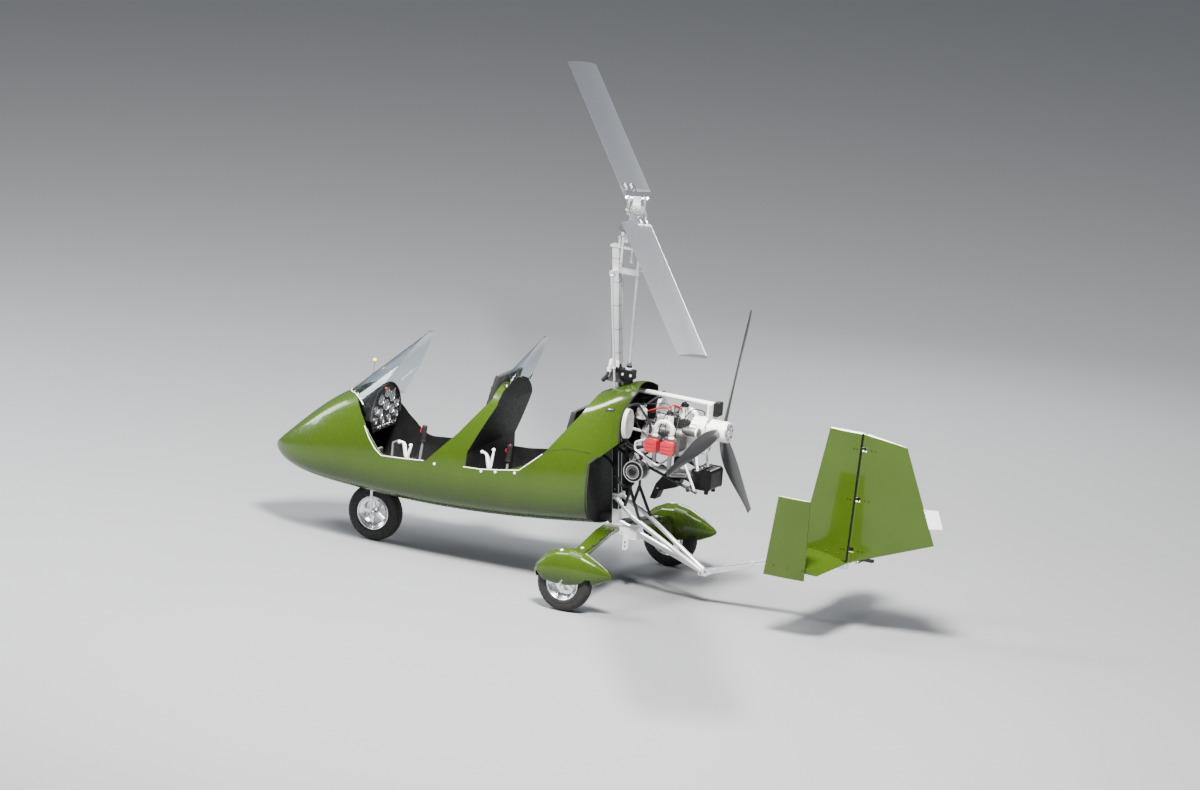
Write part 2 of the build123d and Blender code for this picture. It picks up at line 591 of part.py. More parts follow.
def make_tail():
    """Fin, rudder and hinge, tailplane and tip fins."""
    half = TAIL_THICK / 2
    fin_wires = []
    for nose_x, z in ((FIN_NOSE_BOTTOM[0], HINGE_BOTTOM[1] + 4), (FIN_NOSE_TOP[0], HINGE_TOP[1])):
        tail_x = hinge_x(z) + half * 0.8 + RUDDER_GAP
        fin_wires.append(plank(nose_x, tail_x, TAIL_THICK * 0.8, z, TAIL_THICK * 0.74))
    fin = Solid.make_loft(fin_wires)
    # The rudder is a flat-sided wedge behind a round nose on the hinge line.
    nose = half * 0.74
    rudder_wires = []
    for z in (HINGE_BOTTOM[1], HINGE_TOP[1]):
        x = hinge_x(z)
        part = (z - RUDDER_TAIL_BOTTOM[1]) / (RUDDER_TAIL_TOP[1] - RUDDER_TAIL_BOTTOM[1])
        tail = RUDDER_TAIL_BOTTOM[0] + (RUDDER_TAIL_TOP[0] - RUDDER_TAIL_BOTTOM[0]) * part
        rudder_wires.append(Wire([
            Edge.make_three_point_arc((x, nose, z), (x + nose, 0, z), (x, -nose, z)),
            Edge.make_line((x, -nose, z), (tail, -3, z)),
            Edge.make_line((tail, -3, z), (tail, 3, z)),
            Edge.make_line((tail, 3, z), (x, nose, z)),
        ]))
    rudder = Solid.make_loft(rudder_wires)
    foot_x, aft = HINGE_BOTTOM[0] - 10, -2700
    below = [(foot_x, HINGE_BOTTOM[1]), RUDDER_TAIL_BOTTOM, (aft, RUDDER_TAIL_BOTTOM[1]), (aft, 400),
             (foot_x, 400)]
    above = [HINGE_TOP, RUDDER_TAIL_TOP, (aft, RUDDER_TAIL_TOP[1]), (aft, 1500), (HINGE_TOP[0], 1500)]
    rudder = rudder - side_prism(below, -100, 100) - side_prism(above, -100, 100)
    pin = rod((hinge_x(500), 0, 500), (hinge_x(1432), 0, 1432), HINGE_PIN_RADIUS)
    rudder -= rod((hinge_x(400), 0, 400), (hinge_x(1500), 0, 1500), HINGE_PIN_RADIUS + RUNNING_GAP)
    hinges = pin
    for z in (600, 960, 1320):
        x = hinge_x(z)
        rudder -= block(x - 22, x + 40, -40, 40, z - 16, z + 16)
        hinges += block(x - 12, x + half * 0.8 + RUDDER_GAP + 0.5, -9, 9, z - 9, z + 9)
    hinges -= fin
    # Tailplane and tip fins
    z = TAILPLANE_Z
    nose_x, tail_x = TAILPLANE_NOSE_X, TAILPLANE_TAIL_X
    y0 = -TIP_FIN_Y + TIP_FIN_THICK / 2
    outline = Wire([
        Edge.make_three_point_arc((nose_x - 70, y0, z + 50), (nose_x, y0, z + 20), (nose_x - 60, y0, z - 5)),
        Edge.make_line((nose_x - 60, y0, z - 5), (tail_x, y0, z - 12)),
        Edge.make_line((tail_x, y0, z - 12), (tail_x, y0, z - 6)),
        Edge.make_three_point_arc((tail_x, y0, z - 6), (nose_x - 200, y0, z + 40), (nose_x - 70, y0, z + 50)),
    ])
    tailplane = extrude(Face(outline), amount=2 * (TIP_FIN_Y - TIP_FIN_THICK / 2), dir=(0, 1, 0))
    fin -= tailplane
    tip = make_tip_fin()
    tailplane = tailplane - tip - mirrored(tip)
    carrier = block(BOOM_END[0] + 30, tail_x - 5, -19, 19, z - 52, z - 14) - tailplane
    tab = side_prism([(-2449, 845), (-2397, 975), (-2506, 985), (-2552, 862)], -2, 2) - rudder
    return fin, rudder, hinges, tailplane, tip, carrier, tab


def make_tip_fin():
    """One vertical end plate of the tailplane, on the left."""
    wires = [plank(-1455, -1766, TIP_FIN_THICK, 445), plank(-1523, -1766, TIP_FIN_THICK, 1010)]
    return Pos(0, TIP_FIN_Y, 0) * Solid.make_loft(wires)


def make_engine():
    """The flat-four engine, plain inside, with its gearbox, cylinders and covers."""
    front, rear, half = CRANKCASE_FRONT, CRANKCASE_REAR, CRANKCASE_HALF_WIDTH
    case = block(rear, front, -half, half, CRANK_Z - 100, CRANK_Z + 90)
    case = fillet(case.edges().filter_by(Axis.X), 28)
    case += rod((front, 0, CRANK_Z), (front + 45, 0, CRANK_Z), half)
    gearbox = rod((rear, 0, CRANK_Z), (GEARBOX_REAR, 0, CRANK_Z), GEARBOX_RADIUS - 5)
    gearbox += rod((rear, 0, PROP_SHAFT_Z), (GEARBOX_REAR, 0, PROP_SHAFT_Z), GEARBOX_RADIUS)
    gearbox += block(GEARBOX_REAR, rear, -62, 62, CRANK_Z, PROP_SHAFT_Z)
    gearbox += rod((GEARBOX_REAR, 0, PROP_SHAFT_Z), (PROP_HUB_FRONT + 0.5, 0, PROP_SHAFT_Z), 40)
    gearbox += block(GEARBOX_REAR, GEARBOX_REAR + 12, DRIVE_Y - 35, 20, 1290, DRIVE_Z + 12)
    cylinders, covers = [], []
    wide, tall = COVER_SIZE
    for side in (-1, 1):
        for x in CYLINDER_X:
            x += 0 if side > 0 else RIGHT_BANK_SHIFT
            barrel = rod((x, side * half, CRANK_Z), (x, side * HEAD_INNER_Y, CRANK_Z), CYLINDER_RADIUS - 4)
            for step in range(5):
                y = half + 12 + step * 20
                barrel += rod((x, side * y, CRANK_Z), (x, side * (y + 7), CRANK_Z), FIN_RADIUS - 4)
            head = block(x - 54, x + 54, side * HEAD_INNER_Y, side * HEAD_OUTER_Y, CRANK_Z - 56, CRANK_Z + 56)
            cylinders.append(barrel + head)
            cover = block(x - wide / 2, x + wide / 2, side * HEAD_OUTER_Y, side * COVER_OUTER_Y,
                          CRANK_Z - tall / 2, CRANK_Z + tall / 2)
            cover = fillet(cover.edges().filter_by(Axis.Y), 16)
            near, far = side * COVER_OUTER_Y, side * (COVER_OUTER_Y + 5)
            for rise in (-25, 0, 25):
                low, high = CRANK_Z + rise - 7, CRANK_Z + rise + 7
                cover += block(x - wide / 2 + 8, x + wide / 2 - 8, near, far, low, high)
            covers.append(cover)
    return case, gearbox, cylinders, covers


def make_intake():
    """Two arched manifolds above the cylinders, each with its carburettor."""
    pipes = []
    for side in (-1, 1):
        front, rear = [x + (0 if side > 0 else RIGHT_BANK_SHIFT) for x in CYLINDER_X]
        y, low, high = side * 225, CRANK_Z + 56, INTAKE_TOP_Z
        route = FilletPolyline((front, y, low), (front, y, high), (rear, y, high), (rear, y, low), radius=52)
        start = Plane(origin=(front, y, low), z_dir=(0, 0, 1))
        pipe = sweep(start * Circle(INTAKE_RADIUS), path=route.wire())
        middle = (front + rear) / 2
        pipe += rod((middle, y, high), (middle, side * 140, high), 20)
        pipe += rod((middle, side * 150, high - 44), (middle, side * 150, high + 40), 27)
        pipe += rod((middle + 26, side * 150, high - 6), (middle + 70, side * 150, high - 6), 32)
        pipes.append(pipe)
    return pipes


def make_coolant():
    """A thin pipe on each side, from the front head round to the crankcase."""
    pipes = []
    for side in (-1, 1):
        shift = 0 if side > 0 else RIGHT_BANK_SHIFT
        front = CYLINDER_X[0] + 54 + shift
        stops = [(front, 252, 1160), (front + 83, 256, 1122), (front + 83, 256, 1072), (front - 95, 256, 985),
                 (front - 120, 150, 1010), (front - 120, CRANKCASE_HALF_WIDTH, 1050)]
        stops = [(x, side * y, z) for x, y, z in stops]
        route = FilletPolyline(*stops, radius=20)
        start = Plane(origin=stops[0], z_dir=Vector(*stops[1]) - Vector(*stops[0]))
        pipes.append(sweep(start * Circle(COOLANT_RADIUS), path=route.wire()))
    return pipes


def make_exhaust():
    """Header pipes from each cylinder to the silencer."""
    pipes = []
    for side, end_y in ((1, -20), (-1, -140)):
        for index, x in enumerate(CYLINDER_X):
            x += 0 if side > 0 else RIGHT_BANK_SHIFT
            y, low, top = side * (225 + 7 * index), 960 - 30 * index, CRANK_Z - 56
            end = (SILENCER_CENTRE[0] + 60, end_y, SILENCER_CENTRE[2] + 35 - 25 * index)
            route = FilletPolyline((x, y, top), (x, y, low), end, radius=34)
            start = Plane(origin=(x, y, top), z_dir=(0, 0, -1))
            pipes.append(sweep(start * Circle(HEADER_RADIUS), path=route.wire()))
    return pipes


def make_engine_mount(neighbours):
    """Tubes that carry the engine from the mast and from the frame below, and the silencer's bracket."""
    mount = block(-80, -50, -64, 64, 978, 1022)
    for x0, y0, z0, x1, y1, z1, radius in MOUNT_TUBES:
        for side in (-1, 1):
            mount += rod((x0, side * y0, z0), (x1, side * y1, z1), radius)
    x, y, z = SILENCER_CENTRE
    top = z + SILENCER_SIZE[2] / 2
    mount += block(x - 18, x + 18, y - 40, 92, top, top + 10)
    for piece in neighbours:
        mount -= piece
    return [solid for solid in mount.solids() if solid.volume > 1000]


def make_silencer():
    """The black silencer box under the gearbox, with its two outlets."""
    (x, y, z), (long, wide, tall) = SILENCER_CENTRE, SILENCER_SIZE
    box = block(x - long / 2, x + long / 2, y - wide / 2, y + wide / 2, z - tall / 2, z + tall / 2)
    box = fillet(box.edges().filter_by(Axis.Y), 20)
    for outlet_y in (y - 55, y + 55):
        box += rod((x - 30, outlet_y, z - tall / 2 + 1), (x - 30, outlet_y, z - tall / 2 - 34), 15, 12)
    return box


def make_coolers(case):
    """The oval coolers beside the engine, just aft of the cowl, each on a stay to the crankcase."""
    coolers = []
    x, y, z = COOLER_CENTRE
    for side in (-1, 1):
        plane = Plane(origin=(x, side * y, z), x_dir=(0, 1, 0), z_dir=(-1, 0, 0))
        wide, tall = COOLER_HALF
        cooler = extrude(plane * Ellipse(wide, tall), amount=14)
        cooler += extrude(plane * Ellipse(wide - 6, tall - 6), amount=COOLER_DEPTH)
        cooler += rod((x - 30, side * (y - 60), z - 45), (x - 70, side * 85, z - 85), 10)
        coolers.append(cooler - case)
    return coolers


def make_oil_tank():
    """The round tank on the left bearer, with its cap."""
    x, z = OIL_TANK_CENTRE
    inside = BEARER_Y + 11
    tank = rod((x, inside, z), (x, inside + 120, z), OIL_TANK_RADIUS)
    return tank + rod((x, inside + 120, z), (x, inside + 128, z), OIL_TANK_RADIUS - 22)


def make_air_duct(case):
    """The black duct below the crankcase, on its neck."""
    outline = [(-560, 862), (-545, 905), (-450, 905), (-372, 800), (-335, 690), (-378, 690), (-404, 755),
               (-530, 800)]
    duct = side_prism(outline, -42, 42) + rod((-505, 0, 1050), (-505, 0, 880), 26)
    return duct - case


def make_prerotator(mast_body, inner):
    """The drive from the engine to the mast, its bevel box, and the shaft up to the rotor head."""
    drive = rod((GEARBOX_REAR + 12, DRIVE_Y, DRIVE_Z), (DRIVE_FRONT, DRIVE_Y, DRIVE_Z), DRIVE_RADIUS)
    pulley = block(PULLEY_REAR, GEARBOX_REAR, DRIVE_Y - 40, DRIVE_Y + 40, 1325, DRIVE_Z + 20)
    x = LIFT_SHAFT_X
    bevel = block(DRIVE_FRONT, x + 30, DRIVE_Y - 25, 25, DRIVE_Z - 30, DRIVE_Z + 30) & inner
    bevel += block(x - 25, x + 25, -25, 25, DRIVE_Z, 1495)
    bevel += block(x - 42, mast_x(1500), -36, 36, 1490, 1550)
    bevel += rod((x, 0, 1550), (x, 0, 1580), 20)
    shaft = rod((x, 0, 1580), (x - 6, 0, LIFT_SHAFT_TOP), LIFT_SHAFT_RADIUS)
    return drive, pulley, bevel - mast_body - shaft, shaft


def make_pushrods(mast_body, shaft):
    """The bracket near the mast's top, and the control rods that run up to it on each side."""
    z = MAST_BRACKET_Z
    x = mast_x(z)
    bracket = block(LIFT_SHAFT_X - 26, x + 20, -26, 26, z - 16, z + 14)
    bracket += block(x - 12, x + 12, -PUSHROD_Y - 12, PUSHROD_Y + 12, z - 16, z + 4)
    bracket = bracket - mast_body - shaft
    for side in (-1, 1):
        bracket += rod((mast_x(1300) - 10, side * 50, 1300), (x, side * PUSHROD_Y, z - 6), PUSHROD_RADIUS)
    return bracket


def make_prop():
    """The propeller hub and three twisted blades."""
    hub = rod((PROP_HUB_FRONT, 0, PROP_SHAFT_Z), (PROP_HUB_REAR, 0, PROP_SHAFT_Z), PROP_HUB_RADIUS)
    wires = []
    for radius, chord, pitch, thick in PROP_SECTIONS:
        plane = Plane(origin=(PROP_X, 0, PROP_SHAFT_Z + radius), x_dir=(0, 1, 0), z_dir=(0, 0, 1))
        wires.append(aerofoil(plane.rotated((0, 0, pitch)), chord, thick))
    blade = Solid.make_loft(wires) - hub
    centre = Axis((PROP_X, 0, PROP_SHAFT_Z), (1, 0, 0))
    return hub, [blade.rotate(centre, 20 + 360 / PROP_BLADES * i) for i in range(PROP_BLADES)]


def aerofoil(plane, chord, thick):
    """A blade section about its quarter chord: a round nose, an arched back and a flat belly."""
    lead, tail, round_nose = chord * 0.25, -chord * 0.75, thick * 0.4
    shoulder = lead - round_nose
    spots = [(shoulder, -round_nose), (lead, 0), (shoulder, round_nose), (chord * -0.2, thick * 0.6),
             (tail, thick * 0.05), (tail, -thick * 0.05)]
    low, nose, high, back, tail_high, tail_low = [plane.from_local_coords((u, v, 0)) for u, v in spots]
    return Wire([
        Edge.make_three_point_arc(low, nose, high),
        Edge.make_three_point_arc(high, back, tail_high),
        Edge.make_line(tail_high, tail_low),
        Edge.make_line(tail_low, low),
    ])


def make_mast_head(mast_body):
    """The plate on the mast with the two ears that hold the gimbal, and the gimbal block."""
    px, pz = PITCH_AXIS
    plate = MAST_TOP_Z + 14
    mast_head = block(px - 60, mast_x(MAST_TOP_Z) + 38, -31, 31, MAST_TOP_Z, plate)
    for x0, x1 in ((px - 60, px - 46), (px + 46, px + 60)):
        mast_head += block(x0, x1, -26, 26, MAST_TOP_Z, pz + EAR_RISE)
    mast_head -= rod((px - 80, 0, pz), (px + 80, 0, pz), ROLL_PIN + RUNNING_GAP)
    mast_head -= mast_body
    gimbal = block(px - 40, px + 40, -24, 24, pz - 22, pz + 22)
    gimbal += rod((px - 66, 0, pz), (px + 66, 0, pz), ROLL_PIN)
    gimbal += rod((px, -50, pz), (px, 50, pz), ROLL_PIN)
    return mast_head, gimbal


def make_head():
    """The tilting head: a plate on two cheeks, its spindle, control arms, rods and spin-up pinion."""
    px, pz = PITCH_AXIS
    low, high = pz + HEAD_PLATE_RISE, pz + HEAD_PLATE_RISE + 12
    pinion_x = ROTOR_X - RING_GEAR_RADIUS - 20
    head = block(ROTOR_X - 30, px + 24, -52, 52, low, high)
    head += block(pinion_x - 16, ROTOR_X, -20, 20, low, high)
    head += block(px - 12, px + 12, -PUSHROD_Y - 12, PUSHROD_Y + 12, low, high)
    for side in (-1, 1):
        head += block(px - 22, px + 22, side * 32, side * 52, pz - 18, low)
        head += rod((px, side * PUSHROD_Y, low + 4), (px, side * PUSHROD_Y, pz - 185), PUSHROD_RADIUS)
    head -= rod((px, -60, pz), (px, 60, pz), ROLL_PIN + RUNNING_GAP)
    head += rod((ROTOR_X, 0, high - 1), (ROTOR_X, 0, SPINDLE_TOP), SPINDLE_RADIUS)
    head += rod((pinion_x, 0, high - 1), (pinion_x, 0, RING_GEAR_Z - 10), 9)
    head += rod((pinion_x, 0, RING_GEAR_Z - 10), (pinion_x, 0, RING_GEAR_Z + 10), 13)
    return head


def make_tower():
    """The hub that spins on the spindle: ring gear, sleeve and the two teeter cheeks."""
    low, high = RING_GEAR_Z - 14, SPINDLE_TOP + 14
    tower = rod((0, 0, low), (0, 0, SPINDLE_TOP + 2), SLEEVE_RADIUS, SPINDLE_RADIUS + RUNNING_GAP)
    tower += rod((0, 0, SPINDLE_TOP + 2), (0, 0, high), SLEEVE_RADIUS)
    half_bar = HUB_BAR_WIDTH / 2
    tower += block(-30, 30, -half_bar - 18, half_bar + 18, SPINDLE_TOP + 2, high)
    for side in (-1, 1):
        tower += block(-30, 30, side * (half_bar + 4), side * (half_bar + 18), SPINDLE_TOP + 2, TEETER_Z + 22)
    tower -= rod((0, -90, TEETER_Z), (0, 90, TEETER_Z), TEETER_PIN + RUNNING_GAP)
    root = RING_GEAR_RADIUS - TOOTH_DEPTH
    gear = rod((0, 0, RING_GEAR_Z - 8), (0, 0, RING_GEAR_Z + 8), root, SLEEVE_RADIUS)
    tooth = Pos(root + TOOTH_DEPTH / 2 - 1, 0, RING_GEAR_Z) * Box(TOOTH_DEPTH + 2, 7, 16)
    gear += [Rot(0, 0, 360 / RING_GEAR_TEETH * i) * tooth for i in range(RING_GEAR_TEETH)]
    return tower, gear


def make_blades():
    """The hub bar on its teeter block, with the grips that clamp the two rotor blades."""
    half_bar, half_thick = HUB_BAR_WIDTH / 2, HUB_BAR_THICK / 2
    reach, grip = BLADE_ROOT - 20, HUB_BAR_LENGTH / 2
    bar = block(-reach, reach, -half_bar, half_bar, HUB_BAR_Z - half_thick, HUB_BAR_Z + half_thick)
    for z0 in (HUB_BAR_Z - half_thick, HUB_BAR_Z + half_thick - GRIP_THICK):
        bar += block(-grip, grip, -half_bar, half_bar, z0, z0 + GRIP_THICK)
    bar += block(-32, 32, -28, 28, HUB_BAR_Z, TEETER_Z + 20)
    bar += rod((0, -half_bar - 22, TEETER_Z), (0, half_bar + 22, TEETER_Z), TEETER_PIN)
    plane = Plane(origin=(BLADE_ROOT, 0, HUB_BAR_Z - 3), x_dir=(0, 1, 0), z_dir=(1, 0, 0))
    blade = extrude(Face(aerofoil(plane, ROTOR_CHORD, ROTOR_THICK)), amount=ROTOR_RADIUS - BLADE_ROOT)
    blades = [Rot(0, 0, half_turn) * blade for half_turn in (0, 180)]
    for blade in blades:
        bar -= blade
    return bar, blades


def on_rotor(shape):
    """Turns a piece to the rotor's parked angle and sets it over the spindle."""
    return Pos(ROTOR_X, 0, 0) * Rot(0, 0, ROTOR_AZIMUTH) * shape


def write(name, *shapes):
    """Write one node's STEP file."""
    solids = [solid for shape in shapes for solid in shape.solids()]
    export_step(Compound(children=solids) if len(solids) > 1 else solids[0], f"parts/{name}.step")


bow, axles = make_gear()
write("gear_bow", bow)
write("main_axles", *axles)
mast, keel, bay_frame, boom, mast_body, keel_body = make_frame(bow)
write("mast", mast)
write("keel_tube", keel)
write("engine_frame", bay_frame)
tub, cowl, wheel_arch, outer, inner = make_hull()
write("hull", tub)
write("rear_cowl", cowl)
write("nose_wheel_arch", wheel_arch)
write("firewall", make_firewall(inner, keel_body))
bulkhead = make_bulkhead(outer, tub, inner)
write("seat_bulkhead", bulkhead)
write("seat_boxes", *make_seat_boxes(inner, keel_body))
front_base, front_back = make_seat(*FRONT_SEAT)
rear_base, rear_back = make_seat(*REAR_SEAT)
write("front_seat_base", front_base)
write("front_seat_back", front_back)
write("rear_seat_base", rear_base)
write("rear_seat_back", rear_back)
write("instrument_panel", make_panel(inner))
write("front_windscreen", make_screen((2010, 1041), (1452, 1555), 290, [
    (2200, 900), (1788, 940), (1452, 1560), (1452, 1700), (2200, 1700)], outer))
write("rear_windscreen", make_screen((806, 1389), (575, 1675), 215, [
    (1100, 1150), (790, 1215), (575, 1678), (575, 1800), (1100, 1800)], outer) - bulkhead - front_back)
for side, name in ((1, "left"), (-1, "right")):
    write(f"{name}_spat", make_spat(side))
    tyre, rim = make_wheel(MAIN_AXLE_X, side * TRACK / 2, side)
    write(f"{name}_tyre", tyre)
    write(f"{name}_rim", rim)
nose_tyre, nose_rim = make_wheel(NOSE_AXLE_X, 0)
write("nose_tyre", nose_tyre)
write("nose_rim", nose_rim)
steering_head = make_steering_head(keel_body)
write("nose_fork", make_fork())
write("steering_head", steering_head)
write("cockpit_controls", *make_controls(inner, wheel_arch, keel + steering_head))
fin, rudder, hinges, tailplane, tip, tail_carrier, tab = make_tail()
write("fin", fin)
write("rudder", rudder)
write("rudder_hinges", hinges)
write("tailplane", tailplane)
write("tip_fins", tip, mirrored(tip))
write("tail_boom", boom + tail_carrier)
write("trim_tab", tab)
case, gearbox, cylinders, covers = make_engine()
silencer = make_silencer()
write("crankcase", case)
write("gearbox", gearbox)
write("cylinders", *cylinders)
write("rocker_covers", *covers)
write("intake_pipes", *make_intake())
write("coolant_pipes", *[pipe - case - cylinders for pipe in make_coolant()])
write("silencer", silencer)
write("exhaust_pipes", *[pipe - silencer for pipe in make_exhaust()])
write("engine_mount", *make_engine_mount((case, gearbox, silencer, mast_body, bay_frame)))
write("coolers", *make_coolers(case))
write("oil_tank", make_oil_tank())
write("air_duct", make_air_duct(case))
drive, pulley, bevel_box, lift_shaft = make_prerotator(mast_body, inner)
write("prerotator_shafts", drive, lift_shaft)
write("prerotator_boxes", pulley, bevel_box)
write("mast_bracket", make_pushrods(mast_body, lift_shaft))
hub, blades = make_prop()
write("propeller_hub", hub)
write("propeller_blades", *blades)
mast_head, gimbal = make_mast_head(mast_body)
write("mast_head", mast_head)
write("gimbal_block", gimbal)
write("rotor_head", make_head())
tower, gear = make_tower()
write("teeter_tower", on_rotor(tower))
write("ring_gear", on_rotor(gear))
bar, rotor_blades = make_blades()
write("hub_bar", on_rotor(bar))
write("rotor_blades", *[on_rotor(blade) for blade in rotor_blades])
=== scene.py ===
# %% [markdown]
# # An open two-seat gyrocopter, dressed for its picture
# The machine arrives as a fixed frame of hard parts: hull, tubes, engine, wheels and rotor.
# This lesson gives every part its finish, and adds the soft and small things: cushions, belts,
# tyres, bolts, hoses, dials and seams. Lengths are in metres. X points forward, Y to the left
# and Z up, and the wheels stand on Z = 0.

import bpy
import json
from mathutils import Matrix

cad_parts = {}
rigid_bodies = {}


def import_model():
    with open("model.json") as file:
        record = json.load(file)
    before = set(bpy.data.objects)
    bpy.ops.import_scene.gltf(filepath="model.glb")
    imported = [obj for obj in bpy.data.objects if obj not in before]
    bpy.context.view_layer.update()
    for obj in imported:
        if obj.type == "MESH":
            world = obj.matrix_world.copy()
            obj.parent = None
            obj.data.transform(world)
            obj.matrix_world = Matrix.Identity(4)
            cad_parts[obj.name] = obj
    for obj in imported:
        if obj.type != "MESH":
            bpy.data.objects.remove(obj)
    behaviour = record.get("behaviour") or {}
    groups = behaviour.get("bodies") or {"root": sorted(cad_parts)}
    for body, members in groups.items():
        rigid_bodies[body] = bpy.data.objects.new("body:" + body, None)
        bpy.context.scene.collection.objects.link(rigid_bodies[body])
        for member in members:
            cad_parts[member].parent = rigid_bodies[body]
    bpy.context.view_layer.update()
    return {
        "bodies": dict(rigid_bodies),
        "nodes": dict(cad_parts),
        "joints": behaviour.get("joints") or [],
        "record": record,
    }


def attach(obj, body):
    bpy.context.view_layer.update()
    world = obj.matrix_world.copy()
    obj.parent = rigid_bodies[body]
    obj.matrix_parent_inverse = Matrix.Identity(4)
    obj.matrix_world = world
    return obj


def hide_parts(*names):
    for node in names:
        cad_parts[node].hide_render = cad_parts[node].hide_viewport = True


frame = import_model()

# %% Tools for the whole lesson
import json
from math import cos, pi, radians, sin

import bmesh
import bpy
from mathutils import Matrix, Vector

parts = frame["nodes"]
put_in_scene = bpy.context.scene.collection.objects.link


def at(x, y, z):
    """A place or a way, from its three numbers."""
    return Vector((x, y, z))


# %% [markdown]
# ## Where the camera stands
# The machine was seen from a long way off, a little behind its left side and from slightly
# above. A very long lens flattens it, so the camera stands far away, and near and far wheels keep
# one scale. Its rotation is written as the three directions it sees: right, up and back. Leaning
# the camera gives the machine the nose-down slant that it has in the view.

# %% Set the camera
right = at(-0.89466, -0.43953, 0.08001)
up = at(0.17581, -0.18176, 0.9675)
back = at(-0.4107, 0.87965, 0.23988)
aim = at(0.514, -0.832, 1.107)
distance = 200.0
sensor_width = 36
frame_width = 8.3333
lens = sensor_width * distance / frame_width

camera_data = bpy.data.cameras.new("camera")
camera_data.lens = lens
camera_data.sensor_width = sensor_width
camera_data.clip_start, camera_data.clip_end = 1.0, 3 * distance
camera = bpy.data.objects.new("camera", camera_data)
put_in_scene(camera)
turn = Matrix((right, up, back)).transposed().to_4x4()
camera.matrix_world = Matrix.Translation(aim + back * distance) @ turn
bpy.context.scene.camera = camera
print("camera at", [round(value, 2) for value in camera.location])

# %% [markdown]
# ## A pale floor and soft light
# Nothing of the place around the machine is kept. A pale matt floor lets its shadow show where
# the wheels stand. A soft even sky fills the shadows, and one strong panel, high on the left and
# behind, lights the machine as the sun would. Four weaker panels draw the highlights on nose and
# cowl and lift the front and the far side.

# %% Lay the floor
floor_size = 1200.0
floor_mesh = bpy.data.meshes.new("floor")
half = floor_size / 2
floor_corners = [(-half, -half, 0), (half, -half, 0), (half, half, 0), (-half, half, 0)]
floor_mesh.from_pydata(floor_corners, [], [(0, 1, 2, 3)])
floor = bpy.data.objects.new("floor", floor_mesh)
put_in_scene(floor)
floor_paint = bpy.data.materials.new("pale floor")
floor_paint.use_nodes = True
floor_surface = floor_paint.node_tree.nodes["Principled BSDF"]
floor_surface.inputs["Base Color"].default_value = (0.215, 0.222, 0.232, 1)
floor_surface.inputs["Roughness"].default_value = 0.85
floor_mesh.materials.append(floor_paint)

# %% Light it
world = bpy.data.worlds.new("studio")
bpy.context.scene.world = world
world.use_nodes = True
sky = world.node_tree.nodes["Background"]
sky.inputs["Color"].default_value = (0.78, 0.86, 1.0, 1)
sky.inputs["Strength"].default_value = 0.24


def add_panel(name, place, target, size, power, colour=(1, 1, 1)):
    """A square panel of light that faces its target."""
    lamp = bpy.data.lights.new(name, "AREA")
    lamp.shape, lamp.size, lamp.energy, lamp.color = "SQUARE", size, power, colour
    panel = bpy.data.objects.new(name, lamp)
    panel.location = place
    panel.rotation_euler = (Vector(target) - Vector(place)).to_track_quat("-Z", "Y").to_euler()
    put_in_scene(panel)


middle = (0.4, 0, 0.9)
add_panel("sun side panel", (-2.6, 5.6, 10.2), middle, 2.2, 7400, (1.0, 0.97, 0.92))
add_panel("long top panel", (1.6, 0.4, 9.8), middle, 3.4, 500)
add_panel("sheen panel", (5.9, 3.2, 7.3), middle, 2.4, 1300)
add_panel("far low panel", (0.6, -6.9, 3.6), (-1.7, 0.1, 0.5), 2.0, 240)
add_panel("front fill", (9.6, 0.6, 3.8), middle, 3.0, 620, (0.92, 0.96, 1.0))

# %% [markdown]
# ## Finishes
# A finish is more than a colour. Under every one lies a fine grain that changes its colour a
# little, breaks its shine and lifts its surface, at the size that the real material has. The
# grain comes from noise in the part's own space, so it stays put when the part moves. A few
# small helpers hold what all finishes share.

# %% Helpers for finishes
def set_inputs(node, **values):
    """Sets inputs of a node, an underscore standing for a space in a name."""
    for name, value in values.items():
        node.inputs[name.replace("_", " ")].default_value = value


def begin_finish(name, colour, rough, metal=0.0):
    """A new finish with its plain values set on the shader itself."""
    finish = bpy.data.materials.new(name)
    finish.use_nodes = True
    surface = finish.node_tree.nodes["Principled BSDF"]
    set_inputs(surface, Base_Color=(*colour, 1), Roughness=rough, Metallic=metal)
    return finish, finish.node_tree, surface


def add_grain(tree, scale, detail=5.0, stretch=(1, 1, 1), kind="ShaderNodeTexNoise"):
    """Noise in the part's own space, stretched where the real grain runs one way."""
    place = tree.nodes.new("ShaderNodeTexCoord")
    mapping = tree.nodes.new("ShaderNodeMapping")
    mapping.inputs["Scale"].default_value = [scale * amount for amount in stretch]
    grain = tree.nodes.new(kind)
    grain.inputs["Scale"].default_value = 1.0
    if "Detail" in grain.inputs:
        grain.inputs["Detail"].default_value = detail
    tree.links.new(place.outputs["Object"], mapping.inputs["Vector"])
    tree.links.new(mapping.outputs["Vector"], grain.inputs["Vector"])
    return grain.outputs[0]


def add_wear(tree, source, low, high, surface, source_low=0.3, source_high=0.7):
    """Lets a grain vary the roughness between two numbers."""
    span = tree.nodes.new("ShaderNodeMapRange")
    set_inputs(span, From_Min=source_low, From_Max=source_high, To_Min=low, To_Max=high)
    tree.links.new(source, span.inputs["Value"])
    tree.links.new(span.outputs["Result"], surface.inputs["Roughness"])


def add_tint(tree, source, dark, light, surface, low=0.3, high=0.7):
    """Lets a grain change the colour between a dark and a light one."""
    ramp = tree.nodes.new("ShaderNodeValToRGB")
    ramp.color_ramp.elements[0].position, ramp.color_ramp.elements[1].position = low, high
    ramp.color_ramp.elements[0].color, ramp.color_ramp.elements[1].color = (*dark, 1), (*light, 1)
    tree.links.new(source, ramp.inputs["Fac"])
    tree.links.new(ramp.outputs["Color"], surface.inputs["Base Color"])


